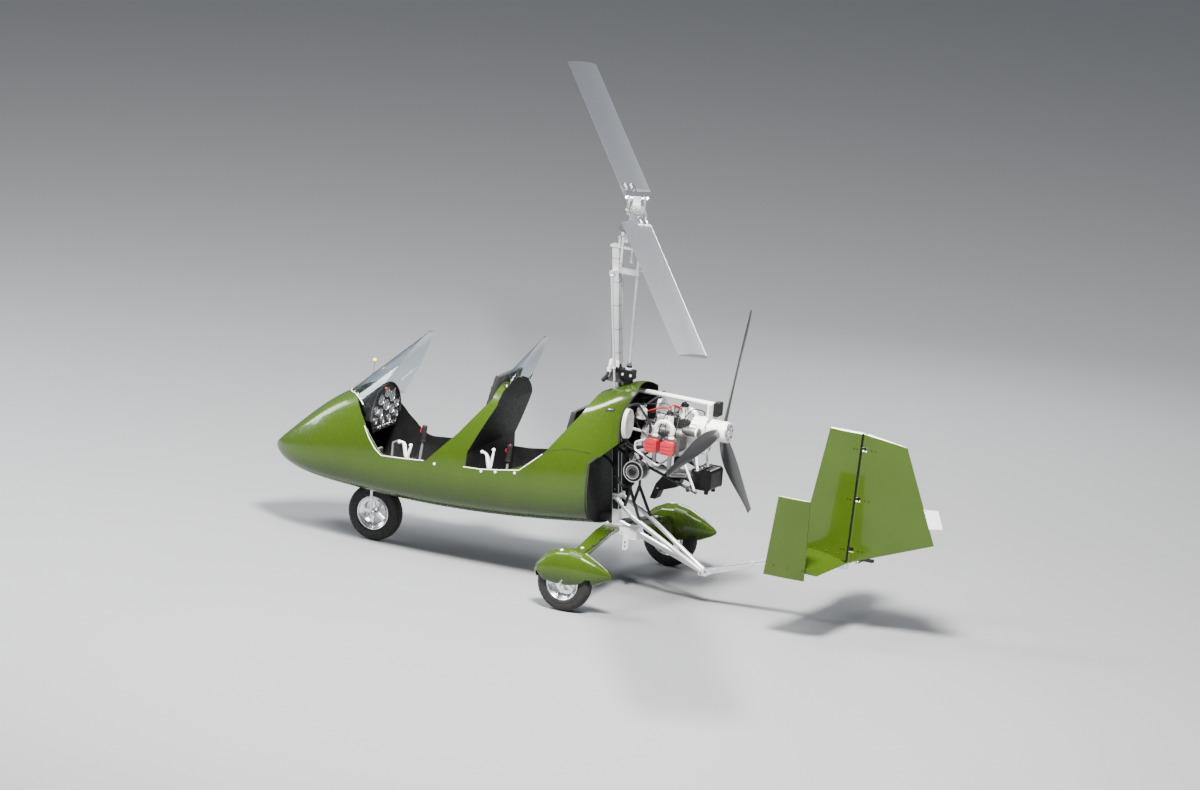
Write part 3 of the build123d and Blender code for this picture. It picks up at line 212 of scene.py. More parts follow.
def add_relief(tree, surface, source, depth, strength=1.0):
    """Lifts the surface by the grain, depth being in metres."""
    relief = tree.nodes.new("ShaderNodeBump")
    set_inputs(relief, Strength=strength, Distance=depth)
    tree.links.new(source, relief.inputs["Height"])
    tree.links.new(relief.outputs["Normal"], surface.inputs["Normal"])


def scaled(colour, amount):
    return tuple(min(channel * amount, 1.0) for channel in colour)


print("finish helpers ready")

# %% [markdown]
# ### Paint on glass fibre
# The hull, spats and tail are glass fibre in a moss green gel coat. Real gel coat is smooth but
# never flat: it has a slow waviness, called orange peel, and a clear top layer that reflects
# the sky. So the shader has a coat, a very low relief, and a faint change of tone. The same
# recipe makes the red of the engine's covers, a gloss black and a gloss white.

# %% Green gel coat and its relatives
moss_green = (0.029, 0.056, 0.0033)


def make_gel_coat(name, colour, tone=0.08, rough=0.24, coat=0.4):
    finish, tree, surface = begin_finish(name, colour, rough)
    cloud = add_grain(tree, 3.0, 3.0)
    add_tint(tree, cloud, scaled(colour, 1 - tone), scaled(colour, 1 + tone), surface)
    add_wear(tree, add_grain(tree, 40.0, 4.0), rough * 0.8, rough * 1.35, surface)
    add_relief(tree, surface, add_grain(tree, 160.0, 1.5), 0.0001, 0.2)
    set_inputs(surface, Specular_IOR_Level=0.22, Coat_Weight=coat, Coat_Roughness=0.05)
    return finish


green_gel = make_gel_coat("green gel coat", moss_green)
red_paint = make_gel_coat("red cover paint", (0.5, 0.003, 0.02), 0.12, 0.18, 0.8)
black_gel = make_gel_coat("gloss black paint", (0.01, 0.01, 0.011), 0.3, 0.2)
white_trim = make_gel_coat("gloss white trim", (0.78, 0.79, 0.8), 0.05, 0.3)
print("gel coats:", green_gel.name, red_paint.name, black_gel.name, white_trim.name)

# %% [markdown]
# ### Black mouldings, rubber and carbon
# Inside, the machine is matt black: grained plastic whose grey changes a little from place to place, and
# rubber that is duller still. The propeller blades are carbon, whose weave shows as a fine check. Tyres carry
# a brown dust on the tread, which fades towards the wheel, so their colour is read from the distance to the
# wheel's own centre.

# %% Blacks
def make_moulding(name, colour, rough=0.55, grain_scale=900.0, depth=0.0003):
    finish, tree, surface = begin_finish(name, colour, rough)
    cloud = add_grain(tree, 14.0)
    add_tint(tree, cloud, scaled(colour, 0.7), scaled(colour, 1.5), surface)
    add_wear(tree, add_grain(tree, 60.0), rough * 0.85, min(rough * 1.25, 0.98), surface)
    add_relief(tree, surface, add_grain(tree, grain_scale, 2.0, kind="ShaderNodeTexVoronoi"), depth, 0.6)
    surface.inputs["Specular IOR Level"].default_value = 0.25
    return finish


black_moulding = make_moulding("black moulding", (0.006, 0.006, 0.0065))
soft_rubber = make_moulding("soft rubber", (0.018, 0.018, 0.019), 0.85)
heat_black = make_moulding("heat black paint", (0.004, 0.004, 0.004), 0.38, 300.0, 0.0002)
grip_foam = make_moulding("ribbed grip rubber", (0.014, 0.014, 0.014), 0.9, 1400.0, 0.0006)
red_hose = make_moulding("red rubber hose", (0.33, 0.016, 0.012), 0.55, 700.0, 0.0002)

tyre_rubber, tree, surface = begin_finish("tyre rubber", (0.012, 0.012, 0.012), 0.7)
wheel_place = tree.nodes.new("ShaderNodeTexCoord")
flatten = tree.nodes.new("ShaderNodeVectorMath")
flatten.operation = "MULTIPLY"
flatten.inputs[1].default_value = (1, 0, 1)
wheel_radius = tree.nodes.new("ShaderNodeVectorMath")
wheel_radius.operation = "LENGTH"
tree.links.new(wheel_place.outputs["Object"], flatten.inputs[0])
tree.links.new(flatten.outputs["Vector"], wheel_radius.inputs[0])
add_tint(tree, wheel_radius.outputs["Value"], (0.007, 0.007, 0.007), (0.032, 0.026, 0.021),
         surface, 0.186, 0.201)
add_wear(tree, add_grain(tree, 55.0), 0.6, 0.92, surface)
add_relief(tree, surface, add_grain(tree, 420.0, 4.0), 0.0004, 0.6)

carbon, tree, surface = begin_finish("carbon blade", (0.02, 0.02, 0.022), 0.3)
add_grain(tree, 260.0, kind="ShaderNodeTexChecker")
add_tint(tree, tree.nodes["Checker Texture"].outputs["Fac"], (0.01, 0.01, 0.011), (0.032, 0.032, 0.034),
         surface, 0.0, 1.0)
set_inputs(surface, Coat_Weight=0.8, Coat_Roughness=0.08)
print("blacks:", black_moulding.name, tyre_rubber.name, soft_rubber.name, heat_black.name, carbon.name)

# %% [markdown]
# ### Metals
# Several kinds of metal show. Tubes are drawn, so fine lines run along them. Castings come out of sand or a
# mould, so they are dull and pebbled. The crankcase is bright cast alloy, and the cylinders and the oil tank
# wear a dark grey copy of it, which is painted shade for where they sit deep in the engine. Turned and
# anodised parts are smooth. The keel tube and the engine's frame are painted nearly black. Drawn tube and
# blasted alloy are partly metal, so that they stay pale in shade, and the others are full metals whose
# roughness carries the difference.

# %% Metals
def make_metal(name, colour, rough, scale, stretch=(1, 1, 1), depth=0.0001, spread=0.35, metal=1.0):
    finish, tree, surface = begin_finish(name, colour, rough, metal)
    cloud = add_grain(tree, 24.0)
    add_tint(tree, cloud, scaled(colour, 0.95), scaled(colour, 1.04), surface)
    lines = add_grain(tree, scale, 3.0, stretch)
    add_wear(tree, lines, rough * (1 - spread), rough * (1 + spread), surface)
    add_relief(tree, surface, lines, depth, 0.5)
    return finish


drawn_tube = make_metal("drawn steel tube", (0.76, 0.77, 0.79), 0.32, 120.0, (0.08, 1, 0.3), 0.00002, 0.15,
                        0.78)
black_tube = make_metal("black painted tube", (0.009, 0.009, 0.01), 0.38, 200.0, metal=0.0)
cast_alloy = make_metal("cast alloy", (0.72, 0.71, 0.69), 0.46, 350.0, depth=0.0004)
# A dark grey copy of the cast alloy: painted shade for the cylinders and the oil tank, where they sit deep in
# the engine.
dark_shade_alloy = make_metal("dark cast alloy", (0.17, 0.165, 0.16), 0.5, 350.0, depth=0.0004)
turned_alloy = make_metal("turned alloy", (0.86, 0.86, 0.88), 0.27, 120.0, (1, 1, 1), 0.00003, 0.18)
pale_alloy = make_metal("pale blasted alloy", (0.9, 0.9, 0.89), 0.5, 320.0, (1, 1, 1), 0.0002, 0.2, 0.2)
blade_alloy = make_metal("anodised blade", (0.7, 0.72, 0.75), 0.34, 260.0, (0.4, 1, 1), 0.00001, 0.1)
gear_steel = make_metal("gear steel", (0.3, 0.3, 0.32), 0.36, 200.0)
filter_gauze = make_metal("filter gauze", (0.48, 0.47, 0.45), 0.55, 900.0, (1, 1, 1), 0.0008, 0.3)
print("metals:", drawn_tube.name, cast_alloy.name, pale_alloy.name, turned_alloy.name, gear_steel.name)

# %% [markdown]
# ### Clear sheet
# Both windscreens are thin bent plastic. Light passes almost straight through, and what shows is
# the reflection of the sky, a cool tint, and faint smears where it was wiped. The smears are
# streaks that run along the sheet, a little rougher than the rest.

# %% Clear plastic
clear_sheet, tree, surface = begin_finish("clear sheet", (0.8, 0.88, 0.93), 0.03)
set_inputs(surface, Transmission_Weight=1.0, IOR=1.42)
add_relief(tree, surface, add_grain(tree, 5.0, 1.0), 0.0004, 0.2)
add_wear(tree, add_grain(tree, 9.0, 6.0, (1, 5, 1)), 0.02, 0.22, surface, 0.45, 0.75)
print("clear:", clear_sheet.name)

# %% [markdown]
# ### Cloth, webbing, dials and lamps
# The seats are black woven cloth: a fine over-and-under weave and a soft sheen at grazing light. The belts
# are flat webbing with ribs across. Dials are pale paper behind glass, and the one lamp on the panel is
# amber.

# %% Soft goods and small colours
def make_weave(name, colour, threads, rough, sheen):
    """Three crossed sets of soft bands, the way threads pass over and under each other."""
    finish, tree, surface = begin_finish(name, colour, rough)
    bands = []
    for direction in ("X", "Z", "Y"):
        place = tree.nodes.new("ShaderNodeTexCoord")
        wave = tree.nodes.new("ShaderNodeTexWave")
        wave.bands_direction = direction
        set_inputs(wave, Scale=threads, Distortion=0.6)
        tree.links.new(place.outputs["Object"], wave.inputs["Vector"])
        bands.append(wave.outputs["Fac"])
    cloth = bands[0]
    for band in bands[1:]:
        blend = tree.nodes.new("ShaderNodeMath")
        blend.operation = "ADD"
        tree.links.new(cloth, blend.inputs[0])
        tree.links.new(band, blend.inputs[1])
        cloth = blend.outputs["Value"]
    add_tint(tree, cloth, scaled(colour, 0.55), scaled(colour, 1.5), surface, 0.2, 0.95)
    add_wear(tree, add_grain(tree, 18.0), rough * 0.9, min(rough * 1.1, 1.0), surface)
    add_relief(tree, surface, cloth, 0.0006, 0.6)
    set_inputs(surface, Sheen_Weight=sheen, Sheen_Roughness=0.45)
    return finish


seat_cloth = make_weave("black seat cloth", (0.0065, 0.0065, 0.007), 90.0, 0.9, 0.05)
webbing = make_weave("belt webbing", (0.016, 0.016, 0.018), 140.0, 0.8, 0.05)
dial_white = make_moulding("dial paper", (0.5, 0.52, 0.5), 0.5, 1200.0, 0.0001)
amber_lamp, tree, surface = begin_finish("amber lamp", (0.85, 0.2, 0.03), 0.25)
add_wear(tree, add_grain(tree, 300.0), 0.18, 0.35, surface)
set_inputs(surface, Emission_Color=(1.0, 0.22, 0.05, 1), Emission_Strength=0.6)
yellow_paint = make_gel_coat("pale yellow paint", (0.8, 0.66, 0.1), 0.06, 0.3)
# A paler green, a painted highlight for the upward faces of the tail.
painted_highlight_green = make_gel_coat("painted highlight green", (0.42, 0.5, 0.25), 0.06, 0.3)
print("soft goods:", seat_cloth.name, webbing.name)

# %% [markdown]
# ### Which part wears which finish
# Each hard part keeps its shape and gets its finish here, in one list, so that none is missed.
# The cowl, hull and tail share one paint, as on the real machine.

# %% Dress the hard parts
finish_list = {
    green_gel: ["hull", "rear_cowl", "gear_bow", "left_spat", "right_spat", "fin", "rudder", "tailplane",
                "tip_fins", "seat_bulkhead"],
    black_moulding: ["nose_wheel_arch", "firewall", "seat_boxes", "instrument_panel", "air_duct"],
    clear_sheet: ["front_windscreen", "rear_windscreen"],
    drawn_tube: ["mast", "engine_frame", "tail_boom", "steering_head", "main_axles",
                 "prerotator_shafts", "mast_bracket", "mast_head", "nose_fork",
                 "rotor_head", "cockpit_controls"],
    black_tube: ["rudder_hinges", "keel_tube", "engine_mount"],
    # The cylinders and the oil tank wear the dark copy of the cast alloy as painted shade.
    dark_shade_alloy: ["cylinders", "oil_tank"],
    cast_alloy: ["gimbal_block", "crankcase"],
    pale_alloy: ["gearbox", "intake_pipes", "coolers", "coolant_pipes", "propeller_hub"],
    turned_alloy: ["nose_rim", "left_rim", "right_rim", "teeter_tower", "hub_bar"],
    white_trim: ["trim_tab"],
    blade_alloy: ["rotor_blades"],
    gear_steel: ["ring_gear", "exhaust_pipes"],
    heat_black: ["silencer", "prerotator_boxes"],
    red_paint: ["rocker_covers"],
    carbon: ["propeller_blades"],
    tyre_rubber: ["nose_tyre", "left_tyre", "right_tyre"],
    seat_cloth: ["front_seat_base", "front_seat_back", "rear_seat_base", "rear_seat_back"],
}
for finish, names in finish_list.items():
    for name in names:
        parts[name].data.materials.clear()
        parts[name].data.materials.append(finish)
dressed = {name for names in finish_list.values() for name in names}
print("not dressed yet:", sorted(set(parts) - dressed))

# %% [markdown]
# ### Two colours on one part
# The hull is green outside and black inside, like the cowl and the spats, and the bulkhead behind
# the front seat is green in front and black behind. The shell is one part, so the colour is
# chosen face by face: a face that looks towards the middle of the shell is an inner one.

# %% Paint the insides black
def paint_faces(name, finish, chooses):
    """Gives a second finish to the faces of a part that the rule chooses."""
    mesh = parts[name].data
    mesh.materials.append(finish)
    slot_number = len(mesh.materials) - 1
    count = 0
    for face in mesh.polygons:
        if chooses(face.center, face.normal):
            face.material_index = slot_number
            count += 1
    print(name, "-", count, "faces in", finish.name)


def looks_inward(height, centre_x=None, centre_y=0.0, limit=-0.25):
    def rule(centre, normal):
        middle_point = at(centre.x if centre_x is None else centre_x, centre_y, height)
        outward = (centre - middle_point).normalized()
        return normal.dot(outward) < limit
    return rule


def hull_rule(centre, normal):
    if centre.x > 1.9:
        return looks_inward(0.572)(centre, normal) and centre.x < 2.535
    return looks_inward(0.66)(centre, normal) or (centre.x < 0.0 and normal.x < -0.8)


paint_faces("hull", black_moulding, hull_rule)
paint_faces("rear_cowl", black_moulding, lambda c, n: looks_inward(0.9)(c, n) or n.x < -0.9)
paint_faces("seat_bulkhead", black_moulding,
            lambda c, n: n.x < -0.25 or (n.x < 0.1 and abs(n.y) < 0.3 and n.z < 0.2))
for side, name in ((1, "left_spat"), (-1, "right_spat")):
    paint_faces(name, black_moulding, looks_inward(0.2, -0.17, side * 0.83))

# %% Paint the smaller parts in two colours, some of them as painted highlight and painted shade
def near_line(start, end, reach):
    """Chooses the faces that lie within reach of a line."""
    start, end = Vector(start), Vector(end)
    along = end - start

    def rule(centre, normal):
        share = max(0.0, min(1.0, (centre - start).dot(along) / along.length_squared))
        return (centre - start - along * share).length < reach
    return rule


stays = [near_line((-0.647, side * 0.08, 1.21), (-0.702, side * 0.08, 0.957), 0.0115) for side in (-1, 1)]
stays += [near_line((-0.566, side * 0.07, 1.04), (-0.688, side * 0.07, 0.802), 0.01) for side in (-1, 1)]
paint_faces("engine_mount", pale_alloy, lambda c, n: any(rule(c, n) for rule in stays))
# The lower run of the spin-up shaft is bare alloy painted gloss white: a painted highlight for the way it
# shines white in the light.
paint_faces("prerotator_shafts", white_trim, lambda c, n: c.z < 1.45)
paint_faces("coolers", black_moulding, lambda c, n: c.x > -0.2205 and n.x > -0.5)
# The fin's rear face and the rudder's nose face each other across the hinge gap and are painted black:
# painted shade in the gap.
paint_faces("fin", black_moulding, lambda c, n: n.x < -0.85)
paint_faces("rudder", black_moulding, lambda c, n: n.x > 0.85)
# The tops of fin, rudder and tip fins get the paler green: a painted highlight where light from above falls
# on them.
for name in ("fin", "rudder", "tip_fins"):
    paint_faces(name, painted_highlight_green, lambda c, n: n.z > 0.8)
# The undersides of the tip fins are painted black: painted shade under them.
paint_faces("tip_fins", black_moulding, lambda c, n: n.z < -0.8)
paint_faces("cockpit_controls", black_moulding, lambda c, n: c.y > 0.25 and c.z < 0.642)
paint_faces("cockpit_controls", white_trim, lambda c, n: c.y > 0.25 and c.z >= 0.642)

# %% [markdown]
# The spats are lofted through a row of sections, and the light would show each section as a
# crease. A real one is sanded fair before it is painted, so their shading runs smoothly across
# every edge but the rim of the opening.

# %% Fair the spats
for name in ("left_spat", "right_spat"):
    spat_mesh = parts[name].data
    spat_mesh.attributes.remove(spat_mesh.attributes["custom_normal"])
    spat_mesh.set_sharp_from_angle(angle=radians(40))
print("spats faired")

# %% [markdown]
# ## A workshop of small makers
# Bolts, hoses, rings and plates come back everywhere, so each kind gets one maker. All of them add
# to an open mesh, and many small things can so become one piece. The makers are: turned, which
# works as a lathe does; tube, for pipes, hoses and wires; plate, for blocks with eased edges;
# ribbon, for flat straps; and bolt and screw.


def open_meshes(count):
    """A few open meshes to build in."""
    return [bmesh.new() for _ in range(count)]


def make_piece(shape, name, finish, body="airframe", sharp=35):
    """Closes an open mesh into a piece with a finish, riding on a body."""
    mesh = bpy.data.meshes.new(name)
    bmesh.ops.recalc_face_normals(shape, faces=shape.faces)
    shape.to_mesh(mesh)
    shape.free()
    mesh.materials.append(finish)
    mesh.shade_smooth()
    mesh.set_sharp_from_angle(angle=radians(sharp))
    piece = bpy.data.objects.new(name, mesh)
    put_in_scene(piece)
    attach(piece, body)
    return piece


def facing(centre, axis, spin=0.0):
    """A frame at a centre whose Z runs along an axis."""
    turn = Vector(axis).to_track_quat("Z", "Y").to_matrix().to_4x4()
    return Matrix.Translation(centre) @ turn @ Matrix.Rotation(spin, 4, "Z")


def three_way_frame(centre, x_way, y_way, z_way):
    """A frame at a centre whose three directions are given."""
    return Matrix.Translation(centre) @ Matrix((x_way, y_way, z_way)).transposed().to_4x4()


def disc(radius, low, high):
    """The profile of a plain round block, for turning."""
    return [(0, low), (radius, low), (radius, high), (0, high)]


def collar(inner, outer, low, high):
    """The profile of a plain ring, for turning as a closed one."""
    return [(inner, low), (outer, low), (outer, high), (inner, high)]


def join_rings(shape, rings, closed=False):
    """Skins a row of rings, where a ring may also be a single point."""
    pairs = list(zip(rings, rings[1:])) + ([(rings[-1], rings[0])] if closed else [])
    for low, high in pairs:
        count = max(len(low), len(high))
        for i in range(count):
            j = (i + 1) % count
            corners = [low[i % len(low)], low[j % len(low)], high[j % len(high)], high[i % len(high)]]
            corners = list(dict.fromkeys(corners))
            if len(corners) > 2:
                shape.faces.new(corners)


def turned(shape, profile, centre, axis, steps=32, closed=False, spin=0.0):
    """Turns rows of (radius, height) round an axis, as a lathe does."""
    frame = facing(centre, axis, spin)
    rings = []
    for radius, height in profile:
        count = steps if radius > 1e-6 else 1
        angles = [2 * pi * i / count for i in range(count)]
        spots = [frame @ at(radius * cos(a), radius * sin(a), height) for a in angles]
        rings.append([shape.verts.new(spot) for spot in spots])
    join_rings(shape, rings, closed)


def smooth_path(points, parts=6):
    """A soft curve through a few points."""
    points = [Vector(point) for point in points]
    spots = [points[0] * 2 - points[1], *points, points[-1] * 2 - points[-2]]
    path = []
    for a, b, c, d in zip(spots, spots[1:], spots[2:], spots[3:]):
        for step in range(parts):
            t = step / parts
            curve = 2 * b + (c - a) * t + (2 * a - 5 * b + 4 * c - d) * t**2 + (3 * b - a - 3 * c + d) * t**3
            path.append(0.5 * curve)
    return path + [points[-1]]


def tube(shape, points, radius, steps=10, parts=0):
    """A round tube along points, closed at both ends. The radius may be a row, one for each point."""
    path = smooth_path(points, parts) if parts else [Vector(point) for point in points]
    knots = radius if isinstance(radius, list) else [radius] * len(points)
    radii = []
    for number in range(len(path)):
        place = number / max(parts, 1)
        low = min(int(place), len(knots) - 1)
        high = min(low + 1, len(knots) - 1)
        radii.append(knots[low] + (knots[high] - knots[low]) * (place - low))
    rings, side = [], None
    for i, spot in enumerate(path):
        ahead = (path[min(i + 1, len(path) - 1)] - path[max(i - 1, 0)]).normalized()
        side = ahead.orthogonal() if side is None else side
        side = (side - ahead * side.dot(ahead)).normalized()
        across = ahead.cross(side)
        angles = [2 * pi * k / steps for k in range(steps)]
        rings.append([shape.verts.new(spot + (side * cos(a) + across * sin(a)) * radii[i]) for a in angles])
    join_rings(shape, rings)
    shape.faces.new(rings[0][::-1])
    shape.faces.new(rings[-1])


def plate(shape, low, high, edge=0.0015, frame=None):
    """A block between two corners with eased edges, in a frame if one is given."""
    low, high = Vector(low), Vector(high)
    middle, size = (low + high) / 2, high - low
    spread = Matrix.Translation(middle) @ Matrix.Diagonal((*size, 1))
    grown = bmesh.ops.create_cube(shape, size=1.0, matrix=spread)
    edge = min(edge, 0.4 * min(abs(value) for value in size))
    sides = list(dict.fromkeys(side for vert in grown["verts"] for side in vert.link_edges))
    eased = bmesh.ops.bevel(shape, geom=sides, offset=edge, segments=2, profile=0.7, affect="EDGES")
    if frame:
        verts = {vert for face in eased["faces"] for vert in face.verts}
        verts |= {vert for vert in grown["verts"] if vert.is_valid}
        linked = {vert for v in verts for face in v.link_faces for vert in face.verts}
        bmesh.ops.transform(shape, matrix=frame, verts=list(linked))


def bolt(shape, centre, axis, size=0.008, spin=0.3):
    """A washer and a hexagon head with a rounded top, size being half the head's width."""
    turned(shape, disc(size * 1.35, 0, size * 0.22), centre, axis, 20)
    head = [(0, 0), (size, 0), (size, size * 0.75), (size * 0.82, size * 0.95), (0, size * 0.95)]
    turned(shape, head, Vector(centre) + Vector(axis).normalized() * size * 0.2, axis, 6, spin=spin)


def screw(shape, centre, axis, size=0.006):
    """A low round head, as on panels."""
    dome = [(0, -0.001), (size, -0.001), (size, size * 0.15), (size * 0.75, size * 0.4), (0, size * 0.5)]
    turned(shape, dome, centre, axis, 14)


def round_head(shape, centre, axis, profile):
    """A turned head of any profile."""
    turned(shape, profile, centre, axis, 24)


def ball_profile(radius, steps):
    """The profile of a ball, for turning."""
    rows = [(radius * sin(pi * k / steps), -radius * cos(pi * k / steps)) for k in range(steps + 1)]
    return [(0, -radius), *rows[1:-1], (0, radius)]


def ribbon(shape, path, facings, width, thick=0.002):
    """A flat strap along a path, its broad side turned to the facings."""
    rings = []
    for i, spot in enumerate(path):
        ahead = (path[min(i + 1, len(path) - 1)] - path[max(i - 1, 0)]).normalized()
        out = (facings[i] - ahead * facings[i].dot(ahead)).normalized()
        side = ahead.cross(out)
        corners = [(-0.5, 0), (-0.48, 1), (0.48, 1), (0.5, 0)]
        rings.append([shape.verts.new(spot + side * (a * width) + out * (b * thick)) for a, b in corners])
    join_rings(shape, rings)
    shape.faces.new(rings[0][::-1])
    shape.faces.new(rings[-1])


print("makers: turned, tube, plate, ribbon, bolt and screw")

# %% [markdown]
# ### Feeling for a surface
# A screw sits on the skin that it holds, wherever that skin is. So a straight line is sent towards
# a hard part, and the first spot that it meets, with the direction in which the skin faces there,
# says where the screw goes. Nothing has to be fitted by eye.

# %% Find where a line meets a part
from mathutils.bvhtree import BVHTree

skins = {}


def skin_of(thing):
    """The surface of a hard part or piece, ready to be felt."""
    if thing.name not in skins:
        mesh = thing.data
        faces = [face.vertices for face in mesh.polygons]
        skins[thing.name] = BVHTree.FromPolygons([vert.co for vert in mesh.vertices], faces)
    return skins[thing.name]


def feel(thing, start, direction, reach=3.0):
    """Where a line first meets a thing, and which way the surface faces there."""
    spot, normal, _, _ = skin_of(thing).ray_cast(Vector(start), Vector(direction), reach)
    if normal is not None and normal.dot(Vector(direction)) > 0:
        normal = -normal
    return spot, normal


def set_on(node, start, direction, reach, fastener, shape, size):
    """Puts a bolt or screw where a line from the start meets a hard part."""
    hit, normal = feel(parts[node], start, direction, reach)
    if hit is not None:
        fastener(shape, hit, normal, size)


side_spot, side_facing = feel(parts["hull"], (1.0, 2.0, 0.66), (0, -1, 0))
print("the hull's side is at", round(side_spot.y, 3), "m, facing", [round(v, 2) for v in side_facing])

# %% [markdown]
# ## Tyres
# The hard tyre is a ring with straight sides, and the real one is moulded: a bead that grips the
# rim, a bulging side wall with a raised line, a rounded shoulder and a tread with grooves. It is
# turned in one closed profile, as a mould would be cut. Grooves that run round the tyre are
# steps in the profile, and the notches in the shoulder are cut by pulling in every third step
# of the turning. Each tyre is made round its own centre, so that the dust follows the tread.

# %% Mould the tyres
tyre_steps = 108
notch_depth = 0.0042
half_tyre = [(0.1142, 0.044), (0.1185, 0.0478), (0.126, 0.049), (0.133, 0.0494), (0.1336, 0.0499),
             (0.1364, 0.0499), (0.137, 0.0494), (0.152, 0.0496), (0.165, 0.0488), (0.1755, 0.0466),
             (0.1842, 0.043), (0.1905, 0.0385), (0.1942, 0.033), (0.1962, 0.029)]
tread = [(0.1962, 0.0262), (0.1925, 0.0254), (0.1925, 0.0218), (0.1975, 0.021), (0.199, 0.012),
         (0.199, 0.01), (0.195, 0.0092), (0.195, 0.0058), (0.1992, 0.005)]
outer_side = half_tyre + tread
whole_tyre = outer_side + [(radius, -out) for radius, out in reversed(outer_side)]
whole_tyre += [(0.1142, -0.03), (0.1142, 0.03)]


def make_tyre(name, centre, body, node):
    """Turns one tyre, cuts its notches, and puts it in the hard tyre's place."""
    shape = bmesh.new()
    turned(shape, whole_tyre, (0, 0, 0), (0, 1, 0), tyre_steps, closed=True)
    notches = 0
    for vert in shape.verts:
        radius = at(vert.co.x, 0, vert.co.z).length
        step = round((math_angle(vert.co.x, vert.co.z) / (2 * pi)) * tyre_steps) % 3
        if 0.027 < abs(vert.co.y) < 0.04 and radius > 0.188 and step == 0:
            vert.co.x *= 1 - notch_depth / radius
            vert.co.z *= 1 - notch_depth / radius
            notches += 1
    for bump in range(3):
        angle = 2.1 * bump + 0.4
        spot = at(0.153 * cos(angle), 0, 0.153 * sin(angle))
        for side in (-1, 1):
            screw(shape, spot + at(0, side * 0.0492, 0), (0, side, 0), 0.004)
    tyre = make_piece(shape, name, tyre_rubber, body, 50)
    tyre.location = centre
    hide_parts(node)
    return notches


def math_angle(x, z):
    """The angle of a spot round the axle, from 0 to a full turn."""
    return Vector((x, z)).angle_signed(Vector((1, 0))) % (2 * pi)


wheel_places = [("nose", (1.765, 0, 0.2), "nose_wheel"), ("left", (-0.114, 0.83, 0.2), "left_wheel"),
                ("right", (-0.114, -0.83, 0.2), "right_wheel")]
for label, centre, body in wheel_places:
    notches = make_tyre(label + "_moulded_tyre", centre, body, label + "_tyre")
print("three tyres, each with", notches // 2, "notches a side")

# %% [markdown]
# ### Rims, bolts and valves
# The rim is bright, and its rolled lip catches the light as a clean ring. The lip is turned as a separate
# ring against the bead. Five bolts with washers hold the hub, and a rubber valve with a small cap leans out
# of each rim.

# %% Dress the wheels
lip = [(0.1135, 0.0385), (0.1175, 0.0395), (0.1205, 0.043), (0.1195, 0.0475), (0.115, 0.0488),
       (0.1105, 0.046), (0.1085, 0.04), (0.104, 0.03), (0.105, 0.0285), (0.111, 0.0375)]
for label, centre, body in wheel_places:
    middle_spot = Vector(centre)
    bright, dull, rubber = open_meshes(3)
    for side in (-1, 1):
        turned(bright, lip, centre, (0, side, 0), 72, closed=True)
        for number in range(5):
            angle = 2 * pi * number / 5 + 0.31
            spot = middle_spot + at(0.0215 * cos(angle), 0, 0.0215 * sin(angle))
            start = spot + at(0, side * 0.2, 0)
            hit, _ = feel(parts[body.replace("_wheel", "_rim")], start, (0, -side, 0), 0.4)
            if hit is not None and abs(hit.y - centre[1]) < 0.075:
                bolt(dull, hit + at(0, side * 0.0005, 0), (0, side, 0), 0.0048, angle)
    angle = 1.9
    outside = -1 if label == "right" else 1
    valve_foot = middle_spot + at(0.098 * cos(angle), outside * 0.012, 0.098 * sin(angle))
    inward = at(-0.35 * cos(angle), outside * 1.0, -0.35 * sin(angle)).normalized()
    tube(rubber, [valve_foot, valve_foot + inward * 0.012, valve_foot + inward * 0.024],
         [0.0062, 0.0048, 0.004], 12)
    turned(dull, [(0, 0), (0.0036, 0), (0.0038, 0.008), (0.003, 0.0095), (0, 0.01)],
           valve_foot + inward * 0.023, inward, 12)
    make_piece(bright, label + "_rim_lips", turned_alloy, body, 40)
    make_piece(dull, label + "_wheel_bolts", gear_steel, body)
    make_piece(rubber, label + "_valve", soft_rubber, body)
print("rims dressed:", [label for label, _, _ in wheel_places])

# %% [markdown]
# ## Seat cushions
# The four pads are foam in a sewn cover. A sewn cover swells between its seams and is pulled in
# where it is stitched, so each pad is blown up as cloth. The pad starts from its hard shape, made
# a little smaller and remeshed into small even squares. Its back and its stitched lines are held
# still, and pressure from inside lifts all the rest. The lift is capped, so that a pad stays in
# its place.

# %% Where each pad lies
half_pad = 0.031
back_foot_rise = 0.063
seat_specs = []
seat_places = (("front", 1.01, 0.48, 1.39, 14), ("rear", 0.34, 0.52, 1.24, 12))
for label, x, bottom, back_top, recline in seat_places:
    foot = at(x + half_pad, 0, bottom + back_foot_rise)
    lean = radians(recline)
    upward = at(-sin(lean), 0, cos(lean))
    face = at(cos(lean), 0, sin(lean))
    back_length = (back_top - bottom - back_foot_rise) / cos(lean)
    stitches = [back_length * share for share in (0.17, 0.32, 0.47, 0.62, 0.77)]
    seat_specs.append((label, "back", foot, upward, face, back_length, 0.19, stitches))
    base_foot = at(x, 0, bottom + half_pad)
    seat_specs.append((label, "base", base_foot, at(1, 0, 0), at(0, 0, 1), 0.4, 0.205,
                       [0.135, 0.225, 0.315]))
for spec in seat_specs:
    print(spec[0], spec[1], "pad is", round(spec[5], 3), "m long and", 2 * spec[6], "m wide")

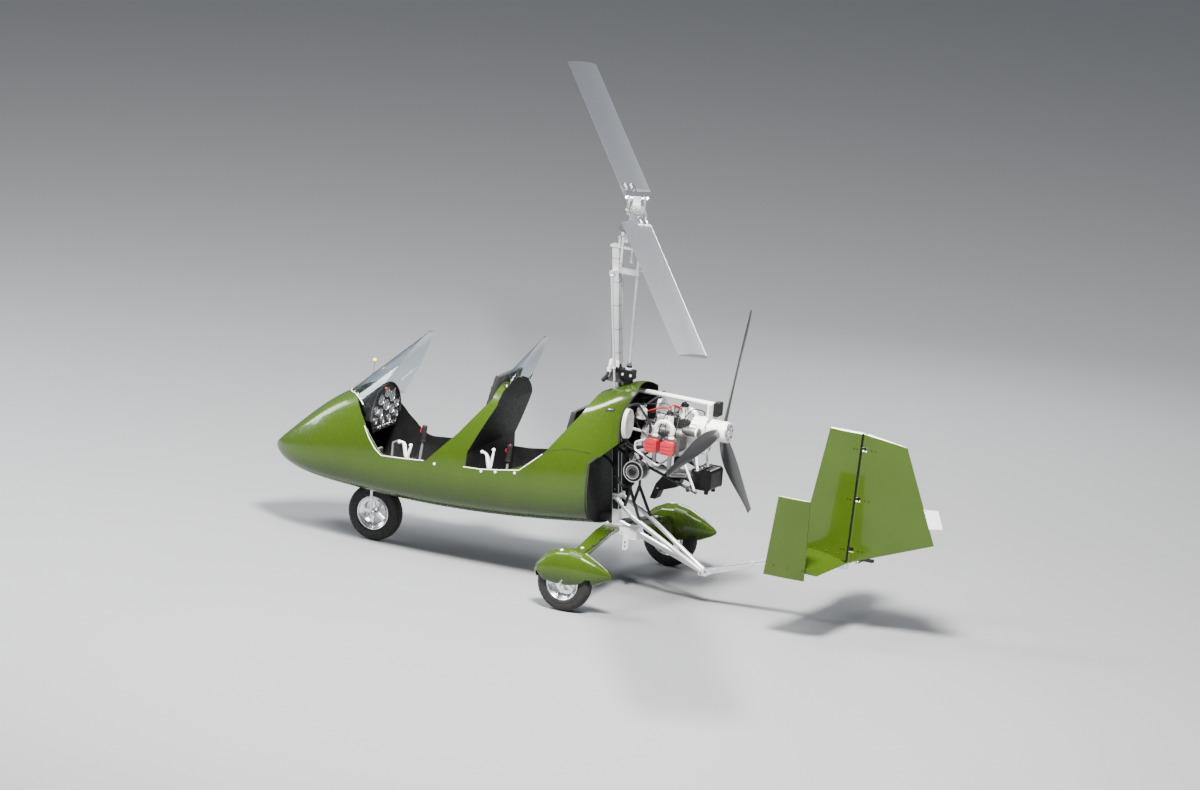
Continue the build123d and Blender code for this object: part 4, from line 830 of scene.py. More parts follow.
# %% Cut the pads and hold their seams
pad_swell = 0.013
pad_thinning = 0.008
stitch_depth = 0.011
pads = {}
for label, kind, foot, along, face, length, half_width, stitches in seat_specs:
    node = parts[label + "_seat_" + kind]
    mesh = node.data.copy()
    pad = bpy.data.objects.new(label + "_" + kind + "_cushion", mesh)
    put_in_scene(pad)
    centre = foot + along * length / 2
    for vert in mesh.vertices:
        offset = vert.co - centre
        s, t, d = offset.y, offset.dot(along), offset.dot(face)
        s *= 1 - pad_swell / half_width
        t *= 1 - pad_swell / (length / 2)
        d = d * (1 - pad_thinning / half_pad) - 0.003
        vert.co = centre + at(0, s, 0) + along * t + face * d
    easing = pad.modifiers.new("ease", "BEVEL")
    easing.width, easing.segments = 0.016, 3
    squares = pad.modifiers.new("squares", "REMESH")
    squares.mode, squares.voxel_size = "VOXEL", 0.006 if kind == "base" else 0.0075
    depsgraph = bpy.context.evaluated_depsgraph_get()
    even = bpy.data.meshes.new_from_object(pad.evaluated_get(depsgraph))
    pad.modifiers.clear()
    pad.data = even
    held = pad.vertex_groups.new(name="held")
    firm = []
    for vert in even.vertices:
        offset = vert.co - foot
        t, d = offset.dot(along), offset.dot(face)
        near = min(abs(t - stitch) for stitch in stitches)
        side_seam = abs(abs(offset.y) - (half_width - 0.058)) if kind == "back" else 1.0
        near = min(near, side_seam) if stitches[0] < t < stitches[-1] else near
        if d < -0.012 or (near < 0.0045 and d > 0.0):
            firm.append(vert.index)
        if d > 0.0:
            pull = stitch_depth * max(0.0, 1 - near / 0.022) ** 2
            vert.co -= face * pull
    held.add(firm, 1.0, "REPLACE")
    pads[label, kind] = pad
    print(pad.name, "-", len(even.vertices), "points,", len(firm), "held")

# %% Blow the pads up
cap = 0.012
starts = {}
for key, pad in pads.items():
    starts[key] = [vert.co.copy() for vert in pad.data.vertices]
    blown = pad.modifiers.new("blown", "CLOTH")
    blown.settings.use_pressure = True
    blown.settings.uniform_pressure_force = 4.0
    blown.settings.vertex_group_mass = "held"
    blown.settings.effector_weights.gravity = 0.0
    blown.settings.tension_stiffness = 18
    blown.settings.compression_stiffness = 18
    blown.settings.bending_stiffness = 0.6
for number in range(1, 21):
    bpy.context.scene.frame_set(number)
depsgraph = bpy.context.evaluated_depsgraph_get()
for key, pad in pads.items():
    blown_pad = pad.evaluated_get(depsgraph)
    spots = [vert.co.copy() for vert in blown_pad.to_mesh().vertices]
    blown_pad.to_mesh_clear()
    pad.modifiers.clear()
    most = 0.0
    for vert, start, spot in zip(pad.data.vertices, starts[key], spots):
        move = spot - start
        most = max(most, move.length)
        vert.co = start + move * min(1.0, cap / max(move.length, 1e-9))
    print(pad.name, "swells by at most", round(min(most, cap) * 1000, 1), "mm")
bpy.context.scene.frame_set(1)

for (label, kind), pad in pads.items():
    pad.data.materials.clear()
    pad.data.materials.append(seat_cloth)
    pad.data.shade_smooth()
    finer = pad.modifiers.new("finer", "SUBSURF")
    finer.levels = finer.render_levels = 1
    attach(pad, "airframe")
    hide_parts(label + "_seat_" + kind)
print("cushions:", [pad.name for pad in pads.values()])

# %% [markdown]
# ### Piping and seam cords
# A cord is sewn in all round the edge of each pad, where the front panel meets the sides. To find
# where it lies, a line is sent from outside towards the middle of the pad at many places round it,
# and the cord follows the spots where the lines meet the cover.

# %% Sew the piping
piping = bmesh.new()
for label, kind, foot, along, face, length, half_width, stitches in seat_specs:
    pad = pads[label, kind]
    middle_point = foot + along * length / 2 + face * 0.012
    ring = []
    for step in range(120):
        angle = 2 * pi * step / 120
        across = at(0, half_width * 1.3 * cos(angle), 0) + along * (length * 0.65 * sin(angle))
        reach = max(abs(across.y) / half_width, abs(across.dot(along)) / (length / 2))
        outside = middle_point + across / reach * 1.15
        hit, _ = feel(pad, outside, (middle_point - outside).normalized(), 2.0)
        if hit is not None:
            ring.append(hit)
    ring = ring + ring[:1]
    tube(piping, ring, 0.0032, 8)
make_piece(piping, "seat_piping", soft_rubber, sharp=60)
print("piping runs round", len(seat_specs), "pads")

# %% [markdown]
# ### Belts
# Each seat has a harness: two shoulder belts, two lap belts and a round buckle. Webbing is flat and
# lies on the pad, so it is laid along the pad's own surface a hair above it. Straps are modelled
# directly, because a cloth simulation would lose them.

# %% Lay the belts
def lay_strap(shape, pad, starts, direction, width, lift=0.003):
    """A strap over a pad: lines are sent towards the pad from the starts."""
    path, facings = [], []
    for start in starts:
        hit, normal = feel(pad, start, direction, 0.6)
        if hit is not None:
            path.append(hit - Vector(direction) * lift)
            facings.append(normal.lerp(-Vector(direction), 0.6).normalized())
    soft_path = [path[0]]
    for before, here, after in zip(path, path[1:], path[2:]):
        soft_path.append((before + here * 2 + after) / 4)
    soft_path.append(path[-1])
    ribbon(shape, soft_path, facings, width, 0.0022)
    return soft_path


for label, base_number, back_number in (("front", 1, 0), ("rear", 3, 2)):
    straps, metal, black_bits = open_meshes(3)
    _, _, foot, upward, face, back_length, _, _ = seat_specs[back_number]
    _, _, base_foot, forward, _, _, _, _ = seat_specs[base_number]
    buckle = base_foot + forward * 0.185
    top_hit, _ = feel(pads[label, "base"], buckle + at(0, 0, 0.3), (0, 0, -1), 0.6)
    buckle_spot = top_hit + at(0, 0, 0.006)
    for side in (-1, 1):
        starts = []
        for step in range(26):
            share = step / 25
            t = back_length * 0.86 * (1 - share) + 0.035 * share
            out = side * (0.085 * (1 - share) ** 0.7 + 0.03)
            starts.append(foot + upward * t + face * 0.3 + at(0, out, 0))
        shoulder_path = lay_strap(straps, pads[label, "back"], starts, -face, 0.046)
        starts = []
        for step in range(12):
            share = step / 11
            x = base_foot.x + 0.075 * (1 - share) + 0.165 * share
            starts.append(at(x, side * (0.028 - 0.012 * share), base_foot.z + 0.3))
        lay_strap(straps, pads[label, "base"], starts, at(0, 0, -1), 0.046)
        starts = []
        for step in range(16):
            share = step / 15
            y = side * (0.196 * (1 - share) + 0.03 * share)
            starts.append(at(base_foot.x + 0.095 + 0.09 * share, y, base_foot.z + 0.3))
        lay_strap(straps, pads[label, "base"], starts, at(0, 0, -1), 0.048, 0.0045)
        adjuster = shoulder_path[9]
        turn_up = three_way_frame(adjuster + face * 0.004, upward, at(0, 1, 0), face)
        plate(metal, (-0.02, -0.028, 0.0), (0.02, 0.028, 0.0045), 0.0015, turn_up)
        plate(metal, (-0.022, -0.03, 0.0), (-0.016, 0.03, 0.0085), 0.0015, turn_up)
        plate(black_bits, (-0.006, -0.0235, 0.004), (0.003, 0.0235, 0.0075), 0.001, turn_up)
        tongue = at(buckle_spot.x, side * 0.03, buckle_spot.z + 0.004)
        tongue_low, tongue_high = at(-0.016, -0.012, -0.0015), at(0.016, 0.012, 0.002)
        plate(metal, tongue + tongue_low, tongue + tongue_high, 0.001)
    body_profile = [(0, 0), (0.027, 0), (0.029, 0.002), (0.029, 0.013), (0.026, 0.0165), (0.016, 0.0175),
                    (0.016, 0.0165), (0, 0.0165)]
    turned(black_bits, body_profile, buckle_spot, (0, 0, 1), 40)
    button = [(0, 0.016), (0.0145, 0.016), (0.0145, 0.019), (0.0125, 0.0205), (0, 0.0208)]
    turned(metal, button, buckle_spot, (0, 0, 1), 32)
    make_piece(straps, label + "_belts", webbing, sharp=50)
    make_piece(metal, label + "_belt_fittings", turned_alloy)
    make_piece(black_bits, label + "_buckle", black_moulding)
print("belts on both seats")

# %% [markdown]
# ## The instrument panel
# The panel faces aft. Its instruments stand in rows: a bright ring, a black face with white
# marks, a white needle and a thin domed glass. A maker for one instrument is enough, because
# all of them differ only in size, in the number of marks and in where the needle points.

# %% Make one instrument
panel_x = 1.752


def add_instrument(rings, faces, marks, glasses, y, z, radius, count, needle):
    """One round instrument on the panel. Its parts go into four open meshes."""
    centre, out = at(panel_x, y, z), at(-1, 0, 0)
    ring = [(radius * 0.86, -0.001), (radius * 0.99, -0.001), (radius, 0.002), (radius * 0.97, 0.0062),
            (radius * 0.91, 0.007), (radius * 0.86, 0.0035)]
    turned(rings, ring, centre, out, 48, closed=True)
    turned(faces, disc(radius * 0.87, -0.001, 0.0012), centre, out, 40)
    dome = [(radius * 0.87, 0.0034), (radius * 0.6, 0.0048), (0, 0.0054), (0, 0.0062),
            (radius * 0.62, 0.0056), (radius * 0.87, 0.0042)]
    turned(glasses, dome, centre, out, 36, closed=True)
    for number in range(count):
        angle = radians(225) - number * radians(270) / (count - 1)
        long_mark = 0.17 if number % 3 == 0 else 0.1
        turn = facing(centre + out * 0.0012, out, angle)
        width = radius * (0.03 if number % 3 == 0 else 0.018)
        plate(marks, (radius * (0.8 - long_mark), -width, 0), (radius * 0.8, width, 0.0005), 0.0001, turn)
    turn = facing(centre + out * 0.0016, out, needle)
    plate(marks, (-radius * 0.16, -radius * 0.028, 0), (radius * 0.64, radius * 0.028, 0.0007), 0.0002, turn)
    pin = [(0, 0.0012), (radius * 0.09, 0.0012), (radius * 0.08, 0.003), (0, 0.0032)]
    turned(rings, pin, centre, out, 16)


# %% Fill the panel
rings, faces, marks, glasses = open_meshes(4)
rows = [(0.0, 1.06, 0.036, 13, 2.2), (-0.085, 1.02, 0.04, 25, 0.7), (0.085, 1.02, 0.04, 19, 3.6),
        (-0.158, 0.955, 0.03, 13, 1.2), (0.158, 0.955, 0.03, 13, 4.4), (0.0, 0.968, 0.04, 25, 5.4),
        (-0.088, 0.925, 0.034, 19, 2.9), (0.088, 0.925, 0.034, 19, 0.2), (-0.16, 0.88, 0.026, 10, 3.9),
        (0.16, 0.88, 0.026, 10, 1.9), (-0.05, 0.868, 0.026, 10, 4.9), (0.05, 0.868, 0.026, 10, 2.5)]
for y, z, radius, count, needle in rows:
    add_instrument(rings, faces, marks, glasses, y, z, radius, count, needle)
make_piece(rings, "instrument_rings", turned_alloy)
make_piece(faces, "instrument_faces", black_gel)
make_piece(marks, "instrument_marks", dial_white)
make_piece(glasses, "instrument_glasses", clear_sheet)
print(len(rows), "instruments on the panel")

# %% [markdown]
# ### Switches, a lamp and the padded edge
# Below the instruments is a row of toggle switches with their guards, a key switch and two knobs.
# One amber lamp stands near the top. A soft padded edge follows the panel's outline, and screws
# with washers hold the face.

# %% Switches and edge
levers, dark_bits, lamp, screws = open_meshes(4)
out = at(-1, 0, 0)
for number in range(7):
    spot = at(panel_x, -0.105 + 0.035 * number, 0.829)
    turned(levers, [(0, 0), (0.0065, 0), (0.0065, 0.003), (0.0045, 0.0065), (0, 0.0065)], spot, out, 6)
    tip = spot + at(-0.02, 0, 0.009 if number % 2 else -0.009)
    tube(levers, [spot, spot + (tip - spot) * 0.5, tip], [0.0016, 0.002, 0.003], 10)
    plate(dark_bits, spot + at(-0.0025, -0.01, -0.016), spot + at(0.0005, 0.01, 0.016), 0.001)
for y in (-0.135, 0.138):
    spot = at(panel_x, y, 0.829)
    knob = [(0, 0), (0.012, 0), (0.012, 0.003), (0.0095, 0.004), (0.009, 0.015), (0.0075, 0.017), (0, 0.017)]
    turned(dark_bits, knob, spot, out, 24)
    turned(levers, [(0, 0.0168), (0.0035, 0.0168), (0.003, 0.018), (0, 0.0182)], spot, out, 12)
lamp_spot = (panel_x, 0.044, 1.098)
lamp_socket = [(0, 0), (0.0125, 0), (0.0125, 0.004), (0.0095, 0.006), (0, 0.006)]
lamp_cap = [(0, 0.004), (0.0088, 0.004), (0.0085, 0.01), (0.006, 0.0145), (0, 0.016)]
turned(dark_bits, lamp_socket, lamp_spot, out, 24)
turned(lamp, lamp_cap, lamp_spot, out, 24)
turned(lamp, [(0, 0), (0.0046, 0), (0.0044, 0.0045), (0, 0.006)], (panel_x, -0.12, 1.058), out, 16)
for half_span, z in ((0.185, 0.832), (0.207, 0.905), (0.138, 1.062)):
    for y in (-half_span, half_span):
        screw(screws, (panel_x, y * 0.93, z), out, 0.0048)
edge_radius, edge_height = 0.2225, 0.9
arc = []
for degrees in range(-3, 184, 6):
    angle = radians(degrees)
    arc.append((panel_x - 0.002, edge_radius * cos(angle), edge_height + edge_radius * sin(angle)))
tube(dark_bits, arc, 0.0095, 12)
make_piece(levers, "panel_switches", turned_alloy)
make_piece(dark_bits, "panel_edge_and_knobs", soft_rubber)
make_piece(lamp, "panel_lamps", amber_lamp)
make_piece(screws, "panel_screws", gear_steel)
print("switches, knobs and lamps set")

# %% [markdown]
# ### Sticks, pedals and hand levers
# Each stick has a ribbed rubber grip with finger grooves, a button on top and a trigger, and a
# bellows closes its foot. The pedals carry ribbed rubber pads. Each hand lever is a forked piece
# of white metal on a pivot, with two knobs, standing in a slotted plate on its side console.

# %% Stick grips and bellows
grips, buttons, bellows = open_meshes(3)
for foot, top in ((at(1.47, 0, 0.54), at(1.448, 0, 0.76)),
                  (at(0.8, 0, 0.466), at(0.786, 0, 0.74))):
    end = top + at(-0.008, 0, 0.11)
    axis = (end - top).normalized()
    profile = [(0, -0.004), (0.0185, -0.004), (0.021, 0.000), (0.0205, 0.006)]
    for number in range(4):
        height = 0.01 + number * 0.023
        profile += [(0.0178, height), (0.0192, height + 0.009), (0.0176, height + 0.019)]
    profile += [(0.0195, 0.1055), (0.0185, 0.1135), (0.013, 0.1165), (0, 0.117)]
    turned(grips, profile, top, axis, 36)
    button = [(0, 0.1165), (0.0062, 0.1165), (0.006, 0.1205), (0.004, 0.1222), (0, 0.1225)]
    turned(buttons, button, top, axis, 20)
    trigger = top + axis * 0.086 + at(0.017, 0, 0)
    tube(buttons, [trigger, trigger + at(0.01, 0, -0.004), trigger + at(0.011, 0, -0.018),
                   trigger + at(0.003, 0, -0.026)], 0.0034, 10, 3)
    rise = (top - foot).normalized()
    folds = [(0.0, 0.0), (0.038, 0.0)]
    for number in range(6):
        height = 0.006 + number * 0.01
        folds += [(0.036 - number * 0.004, height), (0.0315 - number * 0.004, height + 0.005)]
    folds += [(0.0115, 0.066), (0.0115, 0.074), (0.0, 0.074)]
    turned(bellows, folds, foot + rise * 0.012, rise, 32)
make_piece(grips, "stick_grips", grip_foam, sharp=60)
make_piece(buttons, "stick_buttons", red_paint)
make_piece(bellows, "stick_bellows", soft_rubber, sharp=60)
print("grips and bellows on both sticks")

# %% Pedal pads
pads_black, pedal_bolts = open_meshes(2)
for side in (-1, 1):
    y = side * 0.13
    plate(pads_black, (1.7035, y - 0.043, 0.563), (1.7112, y + 0.043, 0.687), 0.003)
    for number in range(7):
        z = 0.574 + number * 0.0167
        plate(pads_black, (1.7005, y - 0.038, z), (1.7045, y + 0.038, z + 0.008), 0.0015)
    for dy in (-0.034, 0.034):
        bolt(pedal_bolts, (1.7232, y + dy, 0.58), (1, 0, 0), 0.005)
        bolt(pedal_bolts, (1.7232, y + dy, 0.67), (1, 0, 0), 0.005)
make_piece(pads_black, "pedal_pads", soft_rubber)
make_piece(pedal_bolts, "pedal_bolts", gear_steel)

# %% Forked hand levers
white_metal, lever_black = open_meshes(2)
for base, upright_knob, forward_knob, console_x, top in (
        ((1.414, 0.3, 0.69), (1.39, 0.3, 0.792), (1.477, 0.3, 0.806), 1.4, 0.79),
        ((0.774, 0.3, 0.7), (0.755, 0.3, 0.876), (0.839, 0.3, 0.85), 0.76, 0.82)):
    base, upright_knob, forward_knob = Vector(base), Vector(upright_knob), Vector(forward_knob)
    left = at(0, 0.01, 0)
    foot = at(console_x, 0.3, 0.64)
    half_way = base.lerp(upright_knob, 0.5) + left
    tube(white_metal, [foot + left, base + left, half_way, upright_knob + left * 0.4],
         [0.011, 0.0125, 0.01, 0.008], 14, 4)
    handle_low = at(console_x + 0.03, 0.3, top - 0.062)
    handle_top = at(console_x + 0.042, 0.3, top)
    tube(white_metal, [foot, base, handle_low, handle_top, handle_top + at(0.007, 0, 0.016),
                       handle_top.lerp(forward_knob, 0.6) + at(0, 0, 0.012), forward_knob],
         [0.0085, 0.0105, 0.0136, 0.0138, 0.011, 0.0085, 0.008], 14)
    pivot = [(0, -0.018), (0.017, -0.018), (0.019, -0.014), (0.019, 0.014), (0.017, 0.018), (0, 0.018)]
    turned(white_metal, pivot, base, (0, 1, 0), 32)
    bolt(white_metal, base + at(0, 0.018, 0), (0, 1, 0), 0.008)
    for spot in (upright_knob + at(0.004, 0, 0.006), forward_knob + at(0.006, 0, 0.002)):
        turned(white_metal, ball_profile(0.013, 10), spot, (0, 0, 1), 24)
    plate(white_metal, (console_x - 0.062, 0.268, 0.639), (console_x + 0.062, 0.33, 0.6425), 0.001)
    plate(lever_black, (console_x - 0.05, 0.29, 0.6415), (console_x + 0.05, 0.31, 0.644), 0.0008)
    for dx in (-0.055, 0.055):
        for y in (0.275, 0.323):
            screw(lever_black, (console_x + dx, y, 0.6424), (0, 0, 1), 0.0042)
    wire = [foot + at(-0.01, 0.012, -0.002), foot + at(-0.03, 0.02, 0.04),
            base + at(-0.02, 0.02, 0.006)]
    tube(lever_black, wire, 0.0028, 8, 5)
make_piece(white_metal, "hand_levers", white_trim, sharp=40)
make_piece(lever_black, "hand_lever_plates", black_moulding)
print("hand levers beside both seats")

# %% [markdown]
# ## Edges, seams and fasteners of the hull
# A moulded shell is finished at its edges. The cockpit's sill has a thin bright strip with a few
# white-headed fasteners, the rear opening has a black rubber lip, and the cowl meets the hull in
# a fine dark seam with quick-release fasteners. All are found by feeling for the shell from the
# side, at the heights where the edges run.

# %% Find an edge on the shell
def along_edge(outline, thing, side, pull_in=0.004, spacing=0.018):
    """Points on the outer skin that follow an outline of (x, z) places."""
    found = []
    for (x0, z0), (x1, z1) in zip(outline, outline[1:]):
        length = ((x1 - x0) ** 2 + (z1 - z0) ** 2) ** 0.5
        count = max(int(length / spacing), 1)
        for step in range(count):
            share = step / count
            x, z = x0 + (x1 - x0) * share, z0 + (z1 - z0) * share
            hit, normal = feel(thing, (x, side * 1.5, z), (0, -side, 0), 1.5)
            if hit is not None and hit.y * side > 0.02:
                found.append((hit - normal * 0.001, normal))
    return found


def in_metres(row):
    """Places in millimetres turned into metres."""
    return [(x / 1000, z / 1000) for x, z in row]


# %% Sill strips and their fasteners
front_sill = in_metres([(1752, 878), (1700, 806), (1640, 742), (1583, 704), (1400, 717), (1232, 733)])
rear_sill = in_metres([(940, 744), (805, 751), (700, 766), (600, 782), (518, 795), (430, 871), (345, 948)])
sill_head = [(0, -0.001), (0.0095, -0.001), (0.01, 0.001), (0.008, 0.0035), (0, 0.0045)]
strip, heads, black_lip, seam_line, latches = open_meshes(5)
for side in (-1, 1):
    for outline in (front_sill, rear_sill):
        edge = along_edge(outline, parts["hull"], side)
        if len(edge) > 2:
            tube(strip, [spot + normal * 0.0012 for spot, normal in edge], 0.003, 8)
    for x, z in ((1.1645, 0.724), (0.8023, 0.738), (0.6942, 0.752), (0.5474, 0.771)):
        set_on("hull", (x, side * 1.5, z), (0, -side, 0), 1.5, round_head, heads, sill_head)
make_piece(strip, "sill_strips", pale_alloy, sharp=60)
make_piece(heads, "sill_fasteners", white_trim)
print("sill strips laid")

# %% Rear lip and cowl seam
rear_low = in_metres([(4, 520), (4, 700), (4, 930), (-60, 990), (-186, 1105)])
rear_high = in_metres([(-190, 1112), (-178, 1200), (-182, 1300), (-205, 1380), (-240, 1462)])
lip_radius = 0.0062
for side in (-1, 1):
    for outline, node in ((rear_low, "hull"), (rear_high, "rear_cowl")):
        edge = [spot for spot, _ in along_edge(outline, parts[node], side)]
        if len(edge) > 2:
            tube(black_lip, edge, lip_radius, 10)
cross_edge = []
for step in range(41):
    y = -0.26 + 0.52 * step / 40
    hit, _ = feel(parts["rear_cowl"], (-0.245, y, 2.0), (0, 0, -1), 1.0)
    if hit is not None:
        cross_edge.append(hit - at(0, 0, 0.001))
if len(cross_edge) > 2:
    tube(black_lip, cross_edge, lip_radius, 10)
seam_outline = in_metres([(336, 957), (170, 999), (-24, 999)])
quick = [(0, -0.001), (0.0075, -0.001), (0.0078, 0.0008), (0.0062, 0.0024), (0.003, 0.0026),
         (0.0026, 0.0012), (0, 0.0012)]
for side in (-1, 1):
    edge = along_edge([(x, z + 0.004) for x, z in seam_outline], parts["rear_cowl"], side)
    if len(edge) > 2:
        tube(seam_line, [spot + normal * 0.0005 for spot, normal in edge], 0.0017, 6)
    edge = along_edge([(x, z - 0.006) for x, z in seam_outline], parts["hull"], side)
    for number in (4, 9, 14, 18):
        if number < len(edge):
            spot, normal = edge[number]
            turned(latches, quick, spot - at(0, 0, 0.012), normal, 20)
    hit, normal = feel(parts["rear_cowl"], (-0.078, side * 1.5, 1.312), (0, -side, 0), 1.5)
    if hit is not None:
        forward = at(1, 0, -0.12).normalized()
        forward = (forward - normal * forward.dot(normal)).normalized()
        turn = three_way_frame(hit, forward, normal.cross(forward), normal)
        plate(black_lip, (-0.034, -0.009, -0.003), (0.034, 0.009, 0.004), 0.003, turn)
        plate(latches, (-0.022, -0.004, 0.003), (0.016, 0.004, 0.0075), 0.0015, turn)
make_piece(black_lip, "rubber_edges", soft_rubber, sharp=60)
make_piece(seam_line, "cowl_seam", black_moulding, sharp=60)
make_piece(latches, "quick_fasteners", turned_alloy)
print("rear lip and cowl seam")

# %% [markdown]
# ### Windscreen strips and the ball on the nose
# The screens are screwed to the hull along their feet, on a sealing strip. The front screen's strip is gloss
# white, a painted reflection of the sky along the screen's foot, and the rear one is black rubber. In front
# of the front screen a small yellow ball stands on a thin stalk, low in the pilot's view.

# %% Screens and stalk
screen_screws, front_reflection_seal, rear_seal = open_meshes(3)
stalk, ball = open_meshes(2)
for name, x_from, x_to, count in (("front_windscreen", 1.8, 1.985, 9), ("rear_windscreen", 0.735, 0.797, 4)):
    sheet = parts[name]
    for side in (-1, 1):
        foot_line = []
        for step in range(count):
            x = x_from + (x_to - x_from) * step / (count - 1)
            low = None
            for level in range(240):
                z = 0.93 + 0.002 * level
                hit, normal = feel(sheet, (x, side * 1.0, z), (0, -side, 0), 1.0)
                if hit is not None and hit.y * side > 0.01:
                    low = (hit, normal)
                    break
            if low is not None:
                foot_line.append(low)
        spots = [spot + normal * 0.002 + at(0, 0, 0.004) for spot, normal in foot_line]
        if len(spots) > 2:
            tube(front_reflection_seal if name == "front_windscreen" else rear_seal, spots, 0.004, 8, 6)
        for number in range(1, len(foot_line) - 1, 2):
            spot, normal = foot_line[number]
            screw(screen_screws, spot + normal * 0.0008 + at(0, 0, 0.02), normal, 0.0052)
deck, _ = feel(parts["hull"], (1.865, 0, 2.0), (0, 0, -1), 2.0)
screen_hit, _ = feel(parts["front_windscreen"], (1.865, 0, 2.0), (0, 0, -1), 1.2)
foot = screen_hit if screen_hit is not None else deck
stalk_path = [foot - at(0, 0, 0.006), foot + at(0, 0, 0.006), (1.865, 0, 1.262)]
tube(stalk, stalk_path, [0.006, 0.0022, 0.0018], 10)
turned(stalk, [(0, -0.001), (0.013, -0.001), (0.013, 0.002), (0.006, 0.006), (0, 0.006)], foot, (0, 0, 1), 20)
turned(ball, ball_profile(0.015, 12), (1.865, 0, 1.268), (0, 0, 1), 24)
turned(stalk, disc(0.0045, -0.019, -0.013), (1.865, 0, 1.268), (0, 0, 1), 12)
make_piece(screen_screws, "screen_screws", turned_alloy)
# The front strip's gloss white is a painted reflection of the sky along the screen's foot.
make_piece(front_reflection_seal, "front_screen_seal", white_trim, sharp=60)
make_piece(rear_seal, "rear_screen_seal", soft_rubber, sharp=60)
make_piece(stalk, "nose_stalk", gear_steel)
make_piece(ball, "nose_ball", yellow_paint, sharp=60)
print("screens sealed and screwed")

# %% [markdown]
# ## The engine
# The engine is what the eye stops at, and it is mostly small things: plugs and their leads, clamps,
# carburettors with filters, hoses and wires. The makers below add the ones that come back: a
# hose with a clamp at each end, a pleated filter and a ring of bolts. Each adds to the open
# meshes of the engine, which are closed one for each finish at the end.

# %% Makers for the engine
engine_shapes = {finish: bmesh.new() for finish in (
    gear_steel, white_trim, soft_rubber, pale_alloy, turned_alloy, black_moulding, black_gel,
    filter_gauze, red_hose, heat_black, dark_shade_alloy)}
steel, white, rubber, pale, bright, moulded, gloss, gauze, red, hot, dark = engine_shapes.values()


def clamp(centre, axis, radius, width=0.009):
    """A worm clamp: a thin steel band with its screw."""
    centre, axis = Vector(centre), Vector(axis).normalized()
    band = collar(radius, radius + 0.0013, -width / 2, width / 2)
    turned(bright, band, centre, axis, 28, closed=True)
    side = axis.orthogonal().normalized()
    plate(bright, (-0.006, -0.0045, -width / 2), (0.006, 0.0045, width / 2), 0.001,
          facing(centre + side * (radius + 0.004), axis))


def hose(points, radius, shape, clamps=True, parts=6, steps=12):
    """A soft hose through points, with a clamp near each end."""
    tube(shape, points, radius, steps, parts)
    if clamps:
        path = smooth_path(points, parts)
        clamp(path[1], path[2] - path[0], radius)
        clamp(path[-2], path[-1] - path[-3], radius)


def pleated(shape, centre, axis, radius, length, pleats=34):
    """A filter's folded paper between its end caps."""
    turn = facing(centre, axis)
    rings = []
    for height in (0.0, length):
        ring = []
        for number in range(2 * pleats):
            angle = pi * number / pleats
            reach = radius * (1.0 if number % 2 else 0.9)
            ring.append(shape.verts.new(turn @ at(reach * cos(angle), reach * sin(angle), height)))
        rings.append(ring)
    join_rings(shape, rings)
    shape.faces.new(rings[0][::-1])
    shape.faces.new(rings[1])


def bolt_ring(shape, centre, axis, radius, count, size=0.005, spin=0.0):
    """Bolts evenly round a centre."""
    turn = facing(centre, axis)
    for number in range(count):
        angle = 2 * pi * number / count + spin
        bolt(shape, turn @ at(radius * cos(angle), radius * sin(angle), 0), axis, size, angle)


print("engine makers ready")

# %% [markdown]
# ### Heads, plugs and covers
# Each head has two plugs on top with rubber caps, four nuts round the cover and a flange under
# each pipe. The leads are thick cables that arch up and in to the ignition boxes on the crankcase.

# %% Heads and plugs
crank_z = 1.13
bank_x = {1: (-0.429, -0.552), -1: (-0.397, -0.52)}
for side, places in bank_x.items():
    for number, x in enumerate(places):
        for dx in (-0.036, 0.036):
            foot = at(x + dx, side * 0.24, 1.186)
            lean = at(0, side * 0.35, 1).normalized()
            turned(steel, [(0, 0), (0.0098, 0), (0.0098, 0.008), (0.008, 0.01), (0, 0.01)],
                   foot, lean, 6)
            turned(white, [(0, 0.009), (0.0062, 0.009), (0.0055, 0.022), (0, 0.022)], foot, lean, 16)
            cap = [(0, 0.018), (0.0085, 0.018), (0.0092, 0.022), (0.0088, 0.04), (0.0065, 0.046), (0, 0.046)]
            turned(rubber, cap, foot, lean, 18)
            top = foot + lean * 0.045
            lead_end = at(-0.47 + dx * 1.2 + 0.012 * number, side * 0.052, 1.262)
            rise = top + at(dx * 0.2, -side * 0.01, 0.05 + 0.012 * number)
            over = at((top.x + lead_end.x) / 2, side * 0.13, 1.312 + 0.01 * number)
            hose([top, rise, over, lead_end], 0.0038, rubber, False, 7, 8)
        for dx in (-0.049, 0.049):
            for z in (1.08, 1.18):
                bolt(steel, (x + dx, side * 0.262, z), (0, side, 0), 0.0052)
        bolt_ring(steel, (x, side * 0.3085, crank_z), (0, side, 0), 0.052, 2, 0.004, pi / 2)
        flange = [(0.0175, 0.0), (0.029, 0.0), (0.03, 0.002), (0.03, 0.008), (0.0215, 0.011),
                  (0.0185, 0.02), (0.0175, 0.02)]
        turned(pale, flange, (x, side * 0.225, 1.186), (0, 0, 1), 28, closed=True)
        turned(steel, [(0.0155, 0), (0.027, 0), (0.027, 0.006), (0.0155, 0.008)],
               (x, side * (0.225 + 0.007 * number), 1.074), (0, 0, -1), 28, closed=True)
        clamp((x, side * 0.225, 1.214), (0, 0, 1), 0.0178, 0.01)
for x0, x1 in ((-0.56, -0.485), (-0.475, -0.4)):
    plate(moulded, (x0, -0.052, 1.219), (x1, 0.052, 1.262), 0.004)
    for number in range(6):
        y = -0.042 + number * 0.0168
        plate(moulded, (x0 + 0.006, y - 0.002, 1.26), (x1 - 0.006, y + 0.002, 1.268), 0.0008)
print("eight plugs with their leads")

# %% [markdown]
# ### Carburettors and filters
# The two carburettors hang at the middle of the pipe arches. Each gets a bowl below, a domed top
# with its cable elbow, a rubber socket, and a pleated filter with bright ends in front.

